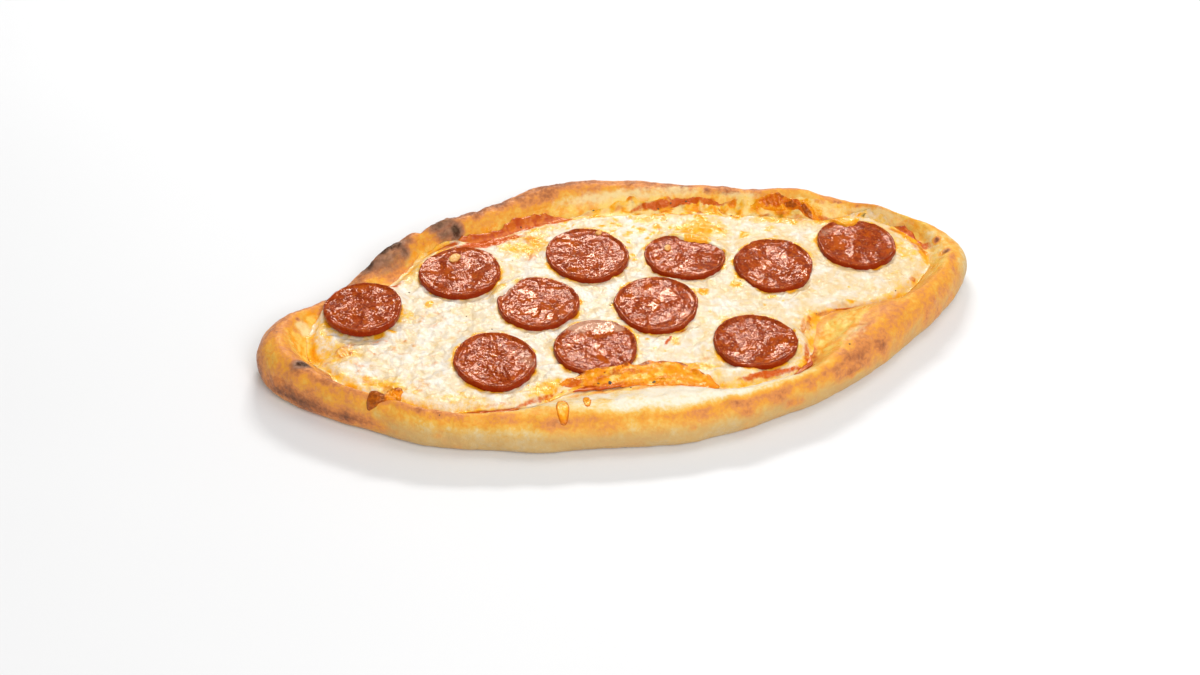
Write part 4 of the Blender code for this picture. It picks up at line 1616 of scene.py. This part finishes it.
    def random_spots(self) -> Table:
        """Pick small spots of yellow oil, every third of them along the back.

        Returns:
            The spots, as flat marks.
        """
        draw = np.random.default_rng(self.seed + 1)
        marks = []
        for number in range(self.yellow_spots):
            back = number % 3 == 0
            angle = draw.uniform(0.4, 2.3) if back else draw.uniform(-math.pi, math.pi)
            share = draw.uniform(0.72, 0.97) if back else draw.random() ** 0.34 * 0.98
            radius = self.plan.foot_radius(np.array([angle]))[0] * share
            long = 0.6 + 2.0 * draw.random() ** 2
            shape = (long, long * draw.uniform(0.4, 0.9), draw.normal(0, 40), draw.uniform(0.5, 1.0))
            marks.append((radius * math.cos(angle), radius * math.sin(angle), *shape))
        return marks

    def halo(self, flat: Array) -> Array:
        """How much oil the slices let out at plan places.

        Args:
            flat: The places.

        Returns:
            The oil at each.
        """
        total = np.zeros(len(flat))
        for bed in self.beds:
            beyond, directions = bed.outside(flat)
            near = np.where(np.abs(beyond) < self.oil_reach)[0]
            ring = on_ring(directions[near], self.noise_ring, self.noise_ring * bed.number)
            uneven = 0.62 + 1.9 * clouds(ring, 6, 35, 2)
            total[near] = np.maximum(total[near], uneven * np.exp(-np.maximum(beyond[near], 0) / 1.2))
        return total

    def keep_masks(self, piece: Thing) -> None:
        """Keep the cheese's masks, for its points as they are once the seam is closed.

        Args:
            piece: The sheet.
        """
        flat = Bench.points(piece)[:, :2]
        level = at_height(flat)
        bent = self.bent(level)
        ragged = 0.35 * clouds(level, 4, 36)
        radii, angles = polar(flat)
        edge = np.exp(-np.maximum(self.plan.foot_radius(angles) - radii, 0) / 4.5)
        oil = np.maximum(spread(flat, self.oil_marks, ragged), self.halo(flat))
        oil = np.maximum(oil, edge * (0.62 + 0.6 * clouds(level, 9, 37, 2)))
        oil = np.maximum(oil, spread(flat, self.random_spots(), 0.6 * ragged))
        ringed = 1.3 * self.bubble_rings(flat, 1.3) * (0.7 + 1.3 * clouds(level, 3, 42, 2))
        cream = 0.42 + 0.22 * smooth_step((flat[:, 0] + 40) / 90) + 0.5 * clouds(bent, 10, 43)
        Bench.masks(
            piece,
            oil=oil + 0.22 * clouds(level, 16, 38),
            stain=spread(flat, self.stain_marks, ragged),
            brown=np.maximum(spread(flat, self.brown_marks, ragged), ringed),
            cream=cream - 0.35 * self.shred_relief(bent),
        )

    def dress(self, piece: Thing) -> None:
        """Give the cheese its finish."""
        Bench.hand_over(piece, CheeseFinish().material(), "cheese", "cheese")


# -------- The slices --------


@dataclass
class SausageSlices:
    """The eleven slices, each with its raised rim, grains, hollows and puddles of oil."""

    beds: Sequence[SliceBed]
    segments: int = 184
    rings: int = 68
    edge_round: float = 0.7
    dryness: float = 0.08
    rim: float = 0.30
    # Puddles that stand level: number of the slice, middle x and y, radius and depth.
    puddles: Table = (
        (7, -41, 8, 4.6, 0.5), (7, -42.5, -2.5, 4.2, 0.5), (7, -34.5, -8, 3.6, 0.4),
        (8, 15.9, -5.5, 5, 0.5), (8, 9.5, -10, 3, 0.4), (10, -26.4, -25.7, 3.2, 0.4),
        (10, -21, -31.5, 3.2, 0.4), (10, -13, -21, 4.5, 0.4), (9, -62, -26, 2.4, 0.3),
        (4, 28.4, 13.5, 3.4, 0.4), (5, 63, 7, 5.2, 0.4), (11, 40, -45.5, 3.2, 0.4),
        (6, 100, 15, 5.5, 0.5), (3, -8, 28, 3.2, 0.3), (2, -68, 27, 3, 0.3), (1, -113, 9, 3, 0.3),
    )
    # Thin films of cheese, and a pale milky crescent on slice 9's right edge: number of the slice,
    # middle x and y, half length, half width, turn, strength.
    films: Table = (
        (10, -19.5, -18.4, 12, 3.6, -4, 1), (10, -10, -21.5, 4, 2.4, -40, 0.8),
        (9, -48.5, -35, 3, 7, 30, 0.5), (7, -48, 12.5, 5, 2, 40, 0.6), (6, 98, 24, 6, 2, 30, 0.5),
    )

    def profile(self, rises: Array, reach: Array) -> tuple[Array, Array]:
        """Distance from the middle and height over the underside, before any relief.

        Args:
            rises: How far up.
            reach: How far the slice reaches.

        Returns:
            The distances and the heights.
        """
        tall = self.beds[0].thickness
        bend = self.edge_round
        knots = [0, 0.10, 0.13, 0.16, 0.27, 0.30, 0.33, 0.36, 1]
        slack = 0.3 * bend
        inset = np.interp(rises, knots, [0, bend, slack, 0, 0, slack * 0.5, slack * 1.3, bend, 0])
        share = np.interp(rises, knots, [0, 1, 1, 1, 1, 1, 1, 1, 0])
        up = [0, 0, slack, bend, tall - bend, tall - slack * 1.3, tall - slack * 0.5, tall, tall]
        return (reach - inset) * share, np.interp(rises, knots, up)

    def build_one(self, bed: SliceBed) -> Thing:
        """Shape one slice and keep its masks.

        Args:
            bed: Where it lies.

        Returns:
            The piece.
        """
        piece, turns, rises = Bench.shell(f"sausage_{bed.number:02d}", self.segments, self.rings)
        angles = turns * FULL_TURN
        ring = on_ring(angles, 17, bed.number * 3.1 * 17)
        reach = bed.reach(angles) - 0.15 + 0.28 * clouds(ring, 3.5, 51) + 0.5 * clouds(ring, 13, 63, 2)
        radii, up = self.profile(rises, reach)
        flat = places(radii, angles) + bed.middle
        from_edge = np.maximum(reach - radii, 0)
        upper = smooth_step((rises - 0.30) / 0.06)
        level = at_height(flat, bed.number * 7.0)
        rim = self.rim * (0.85 + 1.5 * clouds(ring, 9, 52, 2)) * np.exp(-(((from_edge - 0.8) / 0.8) ** 2))
        inner = smooth_step(from_edge / bed.rim_width)
        rim = rim * (1 - np.minimum(bed.lap(angles), 1))
        relief = rim - bed.rim_drop * inner + 0.9 * clouds(level, 12, 53, 2) * inner
        meat = 0.14 * clouds(level, 3.8, 54) + 0.15 * (0.35 - np.abs(clouds(level, 2.0, 55, 2)))
        meat += 0.15 * (0.5 - grains(level, 1.3, 56))
        wet = 0.16 * clouds(level, 8, 61, 2) - self.dryness
        relief += np.maximum(meat, wet) * (0.35 + 0.65 * inner)
        relief -= 0.07 * np.exp(-(((from_edge - 3.0 - clouds(ring, 8, 57, 2)) / 0.6) ** 2))
        height = bed.underside(flat) + up + relief * upper
        puddle = smooth_step((wet - meat) / 0.12 + 0.4) * inner * upper
        for number, x, y, radius, depth in self.puddles:
            if number != bed.number:
                continue
            pool = np.hypot(flat[:, 0] - x, flat[:, 1] - y) + 2.8 * clouds(level, 3.4, 58)
            shore = smooth_step((radius - pool) / 1.2) * upper
            floor = np.median(height[(pool < radius) & (upper > 0.5)])
            filled = np.maximum(height, floor + 0.2 * depth + 0.06 * clouds(level, 2.8, 62))
            puddle = np.maximum(puddle, shore * smooth_step((filled - height) / 0.12 + 0.35))
            height = height + (filled - height) * shore
        wall = 1 - smooth_step((rises - 0.27) / 0.07)
        broken = np.clip(0.35 + 2.6 * clouds(ring, 5, 59, 2), 0, 1.3)
        edge = np.maximum(wall, 0.7 * np.exp(-((from_edge / 1.0) ** 2)) * broken)
        marks = [mark for number, *mark in self.films if number == bed.number]
        film = spread(flat, marks, 0.3 * clouds(level, 3, 64), 1.4)
        Bench.masks(piece, film=film * upper, edge=edge, puddle=puddle)
        Bench.wrap(piece, at_height(flat, height))
        return piece

    def build(self) -> list[Thing]:
        """Shape all slices."""
        return [self.build_one(bed) for bed in self.beds]

    def dress(self, pieces: Sequence[Thing]) -> None:
        """Give the slices their finish.

        Args:
            pieces: The slices.
        """
        material = SausageFinish().material()
        for bed, piece in zip(self.beds, pieces):
            Bench.hand_over(piece, material, "sausage", bed.node)


# -------- What lies on top: runs of melted cheese, seeds and flecks --------


@dataclass
class Ground:
    """Heights of everything built so far, on a fine grid seen from above."""

    pieces: Sequence[Thing]
    spacing: float = 0.75
    soften: float = 1.8
    margin: float = 2
    above: float = 100
    # How much farther than the nearest skin another may lie, and how steeply a skin may face down.
    slack: float = 1.5
    steepest: float = -0.5

    def __post_init__(self) -> None:
        """Drop a ray on the pieces at each point of the grid."""
        low, high = (np.array(corner[:2]) / MM for corner in CAD_BOX)
        self.low = low - self.margin
        self.counts = np.ceil((high + self.margin - self.low) / self.spacing).astype(int) + 1
        self.hard = np.zeros(self.counts)
        graph = bpy.context.evaluated_depsgraph_get()
        self.trees = [BVHTree.FromObject(piece, graph) for piece in self.pieces]
        for piece, tree in zip(self.pieces, self.trees):
            points = Bench.points(piece)
            first = np.maximum(((points.min(axis=0)[:2] - self.low) / self.spacing).astype(int), 0)
            last = ((points.max(axis=0)[:2] - self.low) / self.spacing).astype(int) + 1
            for i in range(first[0], last[0]):
                for j in range(first[1], last[1]):
                    x, y = self.low + (i * self.spacing, j * self.spacing)
                    hit = tree.ray_cast(Vector((x, y, self.above)) * MM, Vector((0, 0, -1)))[0]
                    if hit is not None:
                        self.hard[i, j] = max(self.hard[i, j], hit.z / MM)
        reach = int(3 * self.soften / self.spacing)
        weights = np.exp(-((np.arange(-reach, reach + 1) * self.spacing / self.soften) ** 2))
        weights /= weights.sum()
        soft = np.apply_along_axis(np.convolve, 0, self.hard, weights, "same")
        self.soft = np.apply_along_axis(np.convolve, 1, soft, weights, "same")

    def read(self, grid: Array, flat: Array) -> Array:
        """Read a grid's height at plan places.

        Args:
            grid: The heights, hard or soft.
            flat: The places.

        Returns:
            The height at each.
        """
        spots = np.clip((flat - self.low) / self.spacing, 0, self.counts - 1 - JUST_UNDER)
        cell = spots.astype(int)
        share = spots - cell
        total = np.zeros(len(flat))
        for corner in np.ndindex(2, 2):
            weight = np.where(corner, share, 1 - share).prod(axis=1)
            total += weight * grid[tuple((cell + corner).T)]
        return total

    def nearest(self, spots: Array) -> tuple[Array, Array]:
        """The outermost skin of the dough, the sauce and the cheese near places, and the way that it faces.

        Args:
            spots: The places.

        Returns:
            Points on the skin and their outward directions.
        """
        skin, outward = np.empty(spots.shape), np.empty(spots.shape)
        for i, spot in enumerate(spots):
            hits = [tree.find_nearest(Vector(spot) * MM) for tree in self.trees[:3]]
            reach = min(hit[3] for hit in hits) + self.slack * MM
            close = [hit for hit in hits if hit[3] <= reach and hit[1].z > self.steepest]
            point, facing = max(close or hits, key=lambda hit: (hit[0] / MM - Vector(spot)).dot(hit[1]))[:2]
            skin[i], outward[i] = point / MM, facing
        return skin, outward

    def draped(self, flat: Array, bridge: float = 1.0) -> Array:
        """Height that a soft sheet takes at plan places."""
        hard, soft = self.read(self.hard, flat), self.read(self.soft, flat)
        return np.maximum(hard, hard + bridge * (soft - hard))


@dataclass
class MeltRun:
    """A run of melted cheese along a line, draped over whatever is under it."""

    name: str
    # Middle x and y, and half width, along the run. With heights as fourth values the run is laid on the
    # nearest skin, and without them it is draped from above.
    line: Table
    thickness: float
    oil: float
    brown: float
    stain: float = 0.0
    cream: float = 0.5
    lumps: float = 0.5
    holes: float = 0.0
    ragged: float = 0.22
    bridge: float = 1.0
    rind: float = 0.0
    blunt: float = 0.5
    patchy: float = 0.55
    edge_oil: float = 0.25
    segments: int = 320
    rings: int = 44
    # Share of the way up the shell that is its underside.
    edge_share: float = 0.30
    # Points on the line, how many to each side smooth one, and how quickly the run widens from its ends.
    steps: int = 400
    smoothing: int = 20
    taper: float = 0.3
    noise_level: float = 5.0
    brown_marks: Table = ()
    stain_marks: Table = ()
    white_marks: Table = ()

    def places(self, turns: Array, rises: Array) -> tuple[Array, Array]:
        """Places of the shell before it is laid down, and how far each is from its edge.

        Args:
            turns: How far round.
            rises: How far up.

        Returns:
            The places, and shares from 0 on the run's middle line to 1 on its edge.
        """
        out = np.interp(rises, [0, self.edge_share, 1], [0, 1, 0])
        line = np.array([(*row, 0)[:4] for row in self.line], float)
        along = run_lengths(line[:, :2])
        fine = np.linspace(0, along[-1], self.steps)
        track = np.column_stack([np.interp(fine, along, column) for column in line.T])
        window = np.hanning(2 * self.smoothing + 1)
        window /= window.sum()
        padded = np.pad(track, ((self.smoothing,) * 2, (0, 0)), mode="reflect", reflect_type="odd")
        track = np.column_stack([np.convolve(column, window, "valid") for column in padded.T])
        lean = np.gradient(track[:, :2], axis=0)
        lean /= np.linalg.norm(lean, axis=1)[:, None]
        across = np.column_stack([-lean[:, 1], lean[:, 0]])
        u, v = np.cos(turns * FULL_TURN) * out, np.sin(turns * FULL_TURN) * out
        wide = v / (1 + JUST_UNDER - u**2) ** self.taper
        spot = (u + 1) / 2 * (self.steps - 1)
        values = [np.interp(spot, np.arange(self.steps), column) for column in (*track.T, *across.T)]
        x, y, width, height, side_x, side_y = values
        side = np.column_stack([side_x, side_y])
        flat = np.column_stack([x, y]) + side * (wide * width)[:, None]
        level = at_height(flat, self.noise_level)
        shift = np.column_stack([clouds(level, 8, 71, 2), clouds(level, 8, 72, 2)])
        flat += shift * (self.ragged * 6 * out)[:, None]
        return at_height(flat, height), out

    def build(self, ground: Ground) -> Thing:
        """Shape the run and keep its masks.

        Args:
            ground: What it lies on.

        Returns:
            The piece.
        """
        piece, turns, rises = Bench.shell(self.name, self.segments, self.rings)
        spots, out = self.places(turns, rises)
        flat, level = spots[:, :2], spots * (1, 1, 0)
        upper = rises >= self.edge_share
        body = np.clip(1 - out**4, 0, 1) ** self.blunt
        lumps = self.lumps * (clouds(level, 5, 73) + 0.7 * (0.6 - grains(level, 2.2, 74)))
        gaps = self.holes * smooth_step(1.6 * clouds(level, 7, 75))
        thick = (self.thickness * (1 + lumps) - gaps) * body - 0.25 * (1 - body)
        lift = np.where(upper, thick, -0.5 - 0.4 * body)
        if len(self.line[0]) > 3:
            skin, outward = ground.nearest(spots)
            laid = skin + outward * lift[:, None]
        else:
            laid = at_height(flat, ground.draped(flat, self.bridge) + lift)
        ragged = 0.35 * clouds(level, 3, 76)
        patches = clouds(level, 7, 77) + 0.6 * clouds(level, 2.6, 79, 2)
        rim = smooth_step((out - 0.55) / 0.4) * upper
        oil = self.oil + self.patchy * patches + self.edge_oil * rim
        brown = self.brown * (0.75 + 0.8 * clouds(level, 4, 78)) + self.rind * rim
        Bench.masks(
            piece,
            oil=oil * (1 - spread(flat, self.white_marks, ragged)),
            brown=np.maximum(brown, spread(flat, self.brown_marks, ragged)),
            stain=np.maximum(self.stain * rim, spread(flat, self.stain_marks, ragged)),
            cream=self.cream + patches,
        )
        Bench.wrap(piece, Bench.inside_box(laid))
        return piece


# What the drops on the crest have in common.
DROP = {"oil": 0.8, "brown": 0.1, "rind": 0.75, "lumps": 0.2, "ragged": 0.06, "segments": 96, "rings": 28}


@dataclass
class Toppings:
    """The runs of melted cheese, the three seeds and the dark flecks."""

    runs: Sequence[MeltRun] = (
        MeltRun(
            "melt_back",
            (
                (-15, 60.5, 2.0), (0, 61.5, 4.2), (14, 61.4, 4.8), (30, 58.6, 4.8), (48, 55, 4.4),
                (64, 49.6, 4.6), (80, 45.4, 4.6), (94, 41.6, 4.4), (107, 38.6, 3.6), (120, 35, 2.0),
            ),
            thickness=0.6, oil=0.55, brown=0.25, cream=0.4, lumps=0.9, holes=0.5, ragged=0.34, bridge=0.2,
            blunt=1.0, patchy=1.4, edge_oil=-0.3, segments=520, rings=60,
            brown_marks=(
                (-2, 63, 2.4, 1, 0, 0.6), (12, 63, 2.2, 1.2, 20, 0.6), (46, 63.5, 2.4, 1.2, -10, 0.65),
                (84, 44, 2.6, 1.2, -20, 0.7), (76, 45, 3, 1.3, -10, 0.7), (90, 40, 2.4, 1.3, -30, 0.6),
                (60, 47, 3.2, 1.2, -18, 0.6), (34, 56.5, 2.6, 1, -8, 0.55),
                (107, 41.5, 2.2, 1.2, -20, 0.6), (18.8, 66, 2, 1.8, 0, 0.7), (-6, 66, 3, 1.2, 10, 0.5),
                (8, 69, 3, 1.2, 0, 0.5), (36, 63, 4, 1.4, -12, 0.6), (53, 57, 2.4, 1.6, -14, 0.7),
                (63, 54, 3, 1.6, -14, 0.7), (56, 61, 2.4, 1.4, -14, 0.6), (101, 43, 3, 1.4, -20, 0.6),
                (113, 38, 3, 1.4, -20, 0.5), (70, 55, 3, 1.3, -14, 0.6), (28, 66, 3, 1.2, -8, 0.5),
            ),
            stain_marks=(
                (30, 60.6, 7, 1.5, -4, 0.95), (42, 59.6, 9, 2, -7, 1), (54, 56.4, 6, 1.6, -20, 0.9),
                (22, 61.5, 5, 1, 8, 0.7), (100, 38, 6, 1.2, -20, 0.5),
            ),
            white_marks=((4, 66, 7, 2.6, 0, 0.5), (24, 63.8, 6, 2, -6, 0.4), (112, 36, 5, 2, -20, 0.6)),
        ),
        MeltRun(
            "melt_flap",
            (
                (-39, -50, 1.6), (-31, -48.3, 3.6), (-21, -49.8, 5.4), (-10, -50.3, 6.4), (0, -51.3, 7.4),
                (8, -54, 7.6), (16, -58.6, 5.0), (24, -63.2, 1.6),
            ),
            thickness=0.9, oil=1.0, brown=0.12, rind=0.4, lumps=0.9, ragged=0.26, patchy=0.9,
            segments=360, rings=56,
            brown_marks=(
                (-13.1, -44.4, 3.4, 1.8, 0, 1.1), (-3.3, -45, 2.6, 1.6, 0, 1.1),
                (11.5, -49, 3.4, 1.4, -30, 1.1), (-30, -45.6, 3.4, 1.4, 20, 0.9),
                (-22, -45.4, 3, 1.2, 0, 0.9), (4, -46.2, 2.4, 1.2, -10, 0.9),
                (18, -55.5, 3.2, 1.2, -45, 1), (-8, -50, 3.6, 1, 0, 0.6), (2, -55, 4.6, 0.9, -10, 0.5),
                (-22, -50, 3, 1.4, 20, 0.8), (-34, -49, 2.4, 1.4, 0, 0.8),
            ),
            stain_marks=(
                (-20, -54.4, 14, 1.4, -8, 0.5), (4, -60, 16, 1.3, -14, 0.4),
                (-34, -50.6, 5, 1.4, 10, 0.8), (-14, -48.6, 7, 1.4, 0, 0.6),
            ),
        ),
        MeltRun(
            "melt_ridge",
            (
                (71, 49.6, 0.9), (77, 48.8, 1.7), (83, 47.2, 2.1), (90, 43.8, 2), (95, 39.6, 1.9),
                (99, 36, 1.1),
            ),
            thickness=1.4, oil=1.2, brown=0.35, lumps=1.05, stain=0.25, ragged=0.26, bridge=0.3,
            segments=260, rings=52,
            brown_marks=(
                (88, 45, 4, 1, -35, 1), (79, 48.2, 3, 0.8, -8, 0.8), (94, 40.5, 4, 1.3, -55, 1.2),
                (84, 48.6, 3, 0.7, -16, 0.9),
            ),
            stain_marks=((82, 48, 8, 1.5, -12, 0.7), (92, 42.8, 6, 1.6, -50, 0.8)),
        ),
        MeltRun(
            "melt_drip",
            (
                (-115.8, -50.8, 1.8, 13), (-114.6, -50, 3, 16), (-112.4, -48.8, 3.8, 19),
                (-109.6, -47, 5.2, 20.2), (-106.6, -44.6, 5, 17.2), (-103.4, -41.8, 3.2, 12.6),
                (-100.2, -39, 1.8, 9.2),
            ),
            thickness=1.4, oil=1.3, brown=0.3, rind=0.2, lumps=0.3, ragged=0.04, segments=200, rings=44,
            brown_marks=(
                (-114, -49.6, 5, 5.5, 35, 1.8), (-110, -47.4, 2.4, 4, 35, 1),
                (-102, -40.6, 1.4, 3, 40, 0.9),
            ),
        ),
        MeltRun(
            "melt_drop_1", ((-43, -75.5, 2, 13.5), (-42, -68.5, 2.8, 17), (-41.2, -61, 2, 14)),
            thickness=0.35, **DROP,
        ),
        MeltRun(
            "melt_drop_2", ((-32.3, -70, 1.3, 17), (-31.6, -65, 1.8, 15.5), (-31, -60, 1.3, 13.5)),
            thickness=0.3, **DROP,
        ),
    )
    # Seeds: middle x and y, half length, half width, height, turn.
    seeds: Table = (
        (-66.5, 38.5, 2.9, 1.9, 1.5, 30), (-1.5, 44, 1.5, 1.2, 1.2, 0), (25.5, 26.5, 1.9, 1.4, 1.1, 60),
    )
    flecks: int = 40
    seed: int = 23
    # Flecks that the eye picks out: x, y and half length.
    chosen: Table = (
        (-19.5, -53, 1.1), (-2.3, -56.1, 0.9), (-24, -52, 0.5), (79.4, -56.3, 0.45), (-12, -57, 0.4),
        (36, 60, 0.6), (43, 59.4, 0.7), (-33.4, 59, 0.6), (30, 59.2, 0.5), (-6.9, -4.3, 0.5),
        (1, 64, 0.5), (-8, -5.5, 0.4), (-89, -62, 0.45), (-68, 1, 0.4),
    )

    @staticmethod
    def open_mesh(name: str) -> Thing:
        """Start a piece with an empty mesh, in edit mode.

        Args:
            name: The piece's name.

        Returns:
            The piece.
        """
        piece = bpy.data.objects.new(name, bpy.data.meshes.new(name))
        bpy.context.scene.collection.objects.link(piece)
        Bench.pick(piece)
        bpy.ops.object.mode_set(mode="EDIT")
        return piece

    @staticmethod
    def add_ball(
        place: Vector, half_sizes: Vector, turn: Sequence[float], segments: int, rings: int
    ) -> None:
        """Add a ball, squeezed and turned, to the mesh that is being edited.

        Args:
            place: Its middle, in millimetres.
            half_sizes: Its half length, half width and half height, in millimetres.
            turn: Its rotation, in radians.
            segments: Faces round it.
            rings: Faces from its lower pole to its upper.
        """
        bpy.ops.mesh.primitive_uv_sphere_add(
            segments=segments,
            ring_count=rings,
            radius=1,
            location=place * MM,
            rotation=turn,
            scale=half_sizes * MM,
        )

    def build_seeds(self, ground: Ground) -> Thing:
        """Shape the seeds, each a dented, wrinkled ball.

        Args:
            ground: What they lie on.

        Returns:
            The piece.
        """
        piece = self.open_mesh("seeds")
        for x, y, long, wide, tall, turn in self.seeds:
            top = ground.read(ground.hard, np.array([[x, y]]))[0]
            place, half_sizes = Vector((x, y, top + 0.35 * tall)), Vector((long, wide, 0.75 * tall))
            self.add_ball(place, half_sizes, (0.15, -0.1, math.radians(turn)), 64, 40)
        bpy.ops.object.mode_set(mode="OBJECT")
        points = Bench.points(piece)
        folds = 0.22 * clouds(points, 1.6, 81)
        Bench.move(piece, points + Bench.normals(piece) * folds[:, None])
        return piece

    def build_flecks(self, ground: Ground) -> Thing:
        """Scatter thin flecks over the cheese and the melt.

        Args:
            ground: What they lie on.

        Returns:
            The piece.
        """
        piece = self.open_mesh("herb_flecks")
        draw = np.random.default_rng(self.seed)
        spots = [tuple(row) for row in self.chosen]
        while len(spots) < self.flecks:
            x, y = draw.uniform(-115, 115), draw.uniform(-60, 66)
            if (x / 135) ** 2 + (y / 62) ** 2 < 1:
                spots.append((x, y, draw.uniform(0.16, 0.42)))
        for x, y, long in spots:
            top = ground.read(ground.hard, np.array([[x, y]]))[0]
            turn = (draw.normal(0, 0.2), draw.normal(0, 0.2), draw.uniform(0, math.pi))
            half_sizes = Vector((long, long * draw.uniform(0.4, 0.8), 0.16 + 0.2 * long))
            self.add_ball(Vector((x, y, top + 0.05)), half_sizes, turn, 12, 8)
        bpy.ops.object.mode_set(mode="OBJECT")
        points = Bench.points(piece)
        dents = np.column_stack([clouds(points, 0.5, 82 + i, 2) for i in range(3)])
        Bench.move(piece, points + 0.1 * dents)
        return piece

    def build(self, pieces: Sequence[Thing]) -> tuple[list[Thing], Thing, Thing]:
        """Shape the runs, then the seeds and flecks that lie on them.

        Args:
            pieces: What is under them.

        Returns:
            The runs, the seeds and the flecks.
        """
        ground = Ground(pieces)
        runs = [run.build(ground) for run in self.runs]
        upper = Ground([*pieces, *runs])
        return runs, self.build_seeds(upper), self.build_flecks(upper)

    def dress(self, made: tuple[list[Thing], Thing, Thing]) -> None:
        """Give the runs, the seeds and the flecks their finishes.

        Args:
            made: The runs, the seeds and the flecks.
        """
        runs, seeds, flecks = made
        crisp = CheeseFinish(
            name="crisp_cheese", white=(0.88, 0.66, 0.26), cream=(0.86, 0.54, 0.10),
            curd=(0.82, 0.42, 0.06), yellow=(0.88, 0.44, 0.010), orange=(0.84, 0.25, 0.002),
            golden=(0.66, 0.135, 0.003), brown=(0.18, 0.028, 0.004),
        ).material()
        for run in runs:
            Bench.hand_over(run, crisp, "cheese")
        Bench.hand_over(seeds, SEED_FINISH.material(), "sausage")
        Bench.hand_over(flecks, FLECK_FINISH.material(), "cheese")


# -------- Floor, light and camera --------


@dataclass
class Studio:
    """A pale floor, soft light from above and behind, and the camera at the photograph's angle."""

    camera_place: Colour = (-0.14278, -0.53540, 0.44799)
    camera_target: Colour = (-0.01339, -0.01032, 0.0)
    camera_roll: float = 0.0158
    lens: float = 49.962
    floor_size: float = 8.0
    floor_colour: Colour = (0.80, 0.80, 0.80)
    floor_shade: Colour = (0.788, 0.788, 0.788)
    sky: float = 0.32
    # Place, width, depth and power of each lamp, all aimed at the food.
    lamps: Sequence[tuple[Colour, float, float, float]] = (
        ((0.17, 0.83, 0.70), 0.40, 0.10, 6.8),
        ((0.20, -1.50, 1.35), 1.2, 0.9, 28.0),
        ((0.50, 0.20, 1.70), 0.9, 0.9, 7.0),
    )

    def build(self) -> None:
        """Set up the floor, the lamps, the sky and the camera."""
        bpy.ops.mesh.primitive_plane_add(size=self.floor_size, location=(0, 0, 0))
        floor = bpy.context.object
        floor.name = "floor"
        recipe = start_material("pale_floor")
        tone = recipe.mottle(300.0, seed=1, detail=2, low=0.3, high=0.7)
        colour = recipe.mix(tone, self.floor_colour, self.floor_shade)
        material = end_material(
            recipe, "pale_floor", Base_Color=colour, Roughness=0.7, Specular_IOR_Level=0.2
        )
        floor.data.materials.append(material)
        for number, (place, width, depth, power) in enumerate(self.lamps):
            light = bpy.data.lights.new(f"lamp_{number}", "AREA")
            light.shape = "RECTANGLE"
            light.size, light.size_y, light.energy = width, depth, power
            lamp = bpy.data.objects.new(light.name, light)
            bpy.context.scene.collection.objects.link(lamp)
            lamp.location = place
            lamp.rotation_euler = (-Vector(place)).to_track_quat("-Z", "Y").to_euler()
        world = bpy.data.worlds.new("studio")
        world.use_nodes = True
        world.node_tree.nodes["Background"].inputs["Color"].default_value = (1, 1, 1, 1)
        world.node_tree.nodes["Background"].inputs["Strength"].default_value = self.sky
        bpy.context.scene.world = world
        bpy.context.scene.view_settings.view_transform = "Standard"
        self.add_camera()

    def add_camera(self) -> None:
        """Place the camera, turned a little about its own axis as the photograph is."""
        ahead = (Vector(self.camera_target) - Vector(self.camera_place)).normalized()
        right = ahead.cross(Vector((0, 0, 1))).normalized()
        up = right.cross(ahead)
        cosine, sine = math.cos(self.camera_roll), math.sin(self.camera_roll)
        side, top = cosine * right + sine * up, cosine * up - sine * right
        data = bpy.data.cameras.new("camera")
        data.lens, data.sensor_width = self.lens, 36
        camera = bpy.data.objects.new("camera", data)
        bpy.context.scene.collection.objects.link(camera)
        turn = Matrix((side, top, -ahead)).transposed()
        camera.matrix_world = Matrix.Translation(self.camera_place) @ turn.to_4x4()
        bpy.context.scene.camera = camera


def main() -> None:
    """Build every piece and dress it."""
    logging.basicConfig(level=logging.INFO, format="%(name)s: %(message)s")
    Studio().build()
    plan = BoatPlan()
    beds = [SliceBed(number) for number in range(1, 12)]
    built = []
    for maker in (DoughBoat(plan), SauceLayer(plan), CheeseSheet(plan, beds), SausageSlices(beds)):
        made = maker.build()
        maker.dress(made)
        built += made if isinstance(made, list) else [made]
    toppings = Toppings()
    toppings.dress(toppings.build(built))


if __name__ == "__main__":
    main()
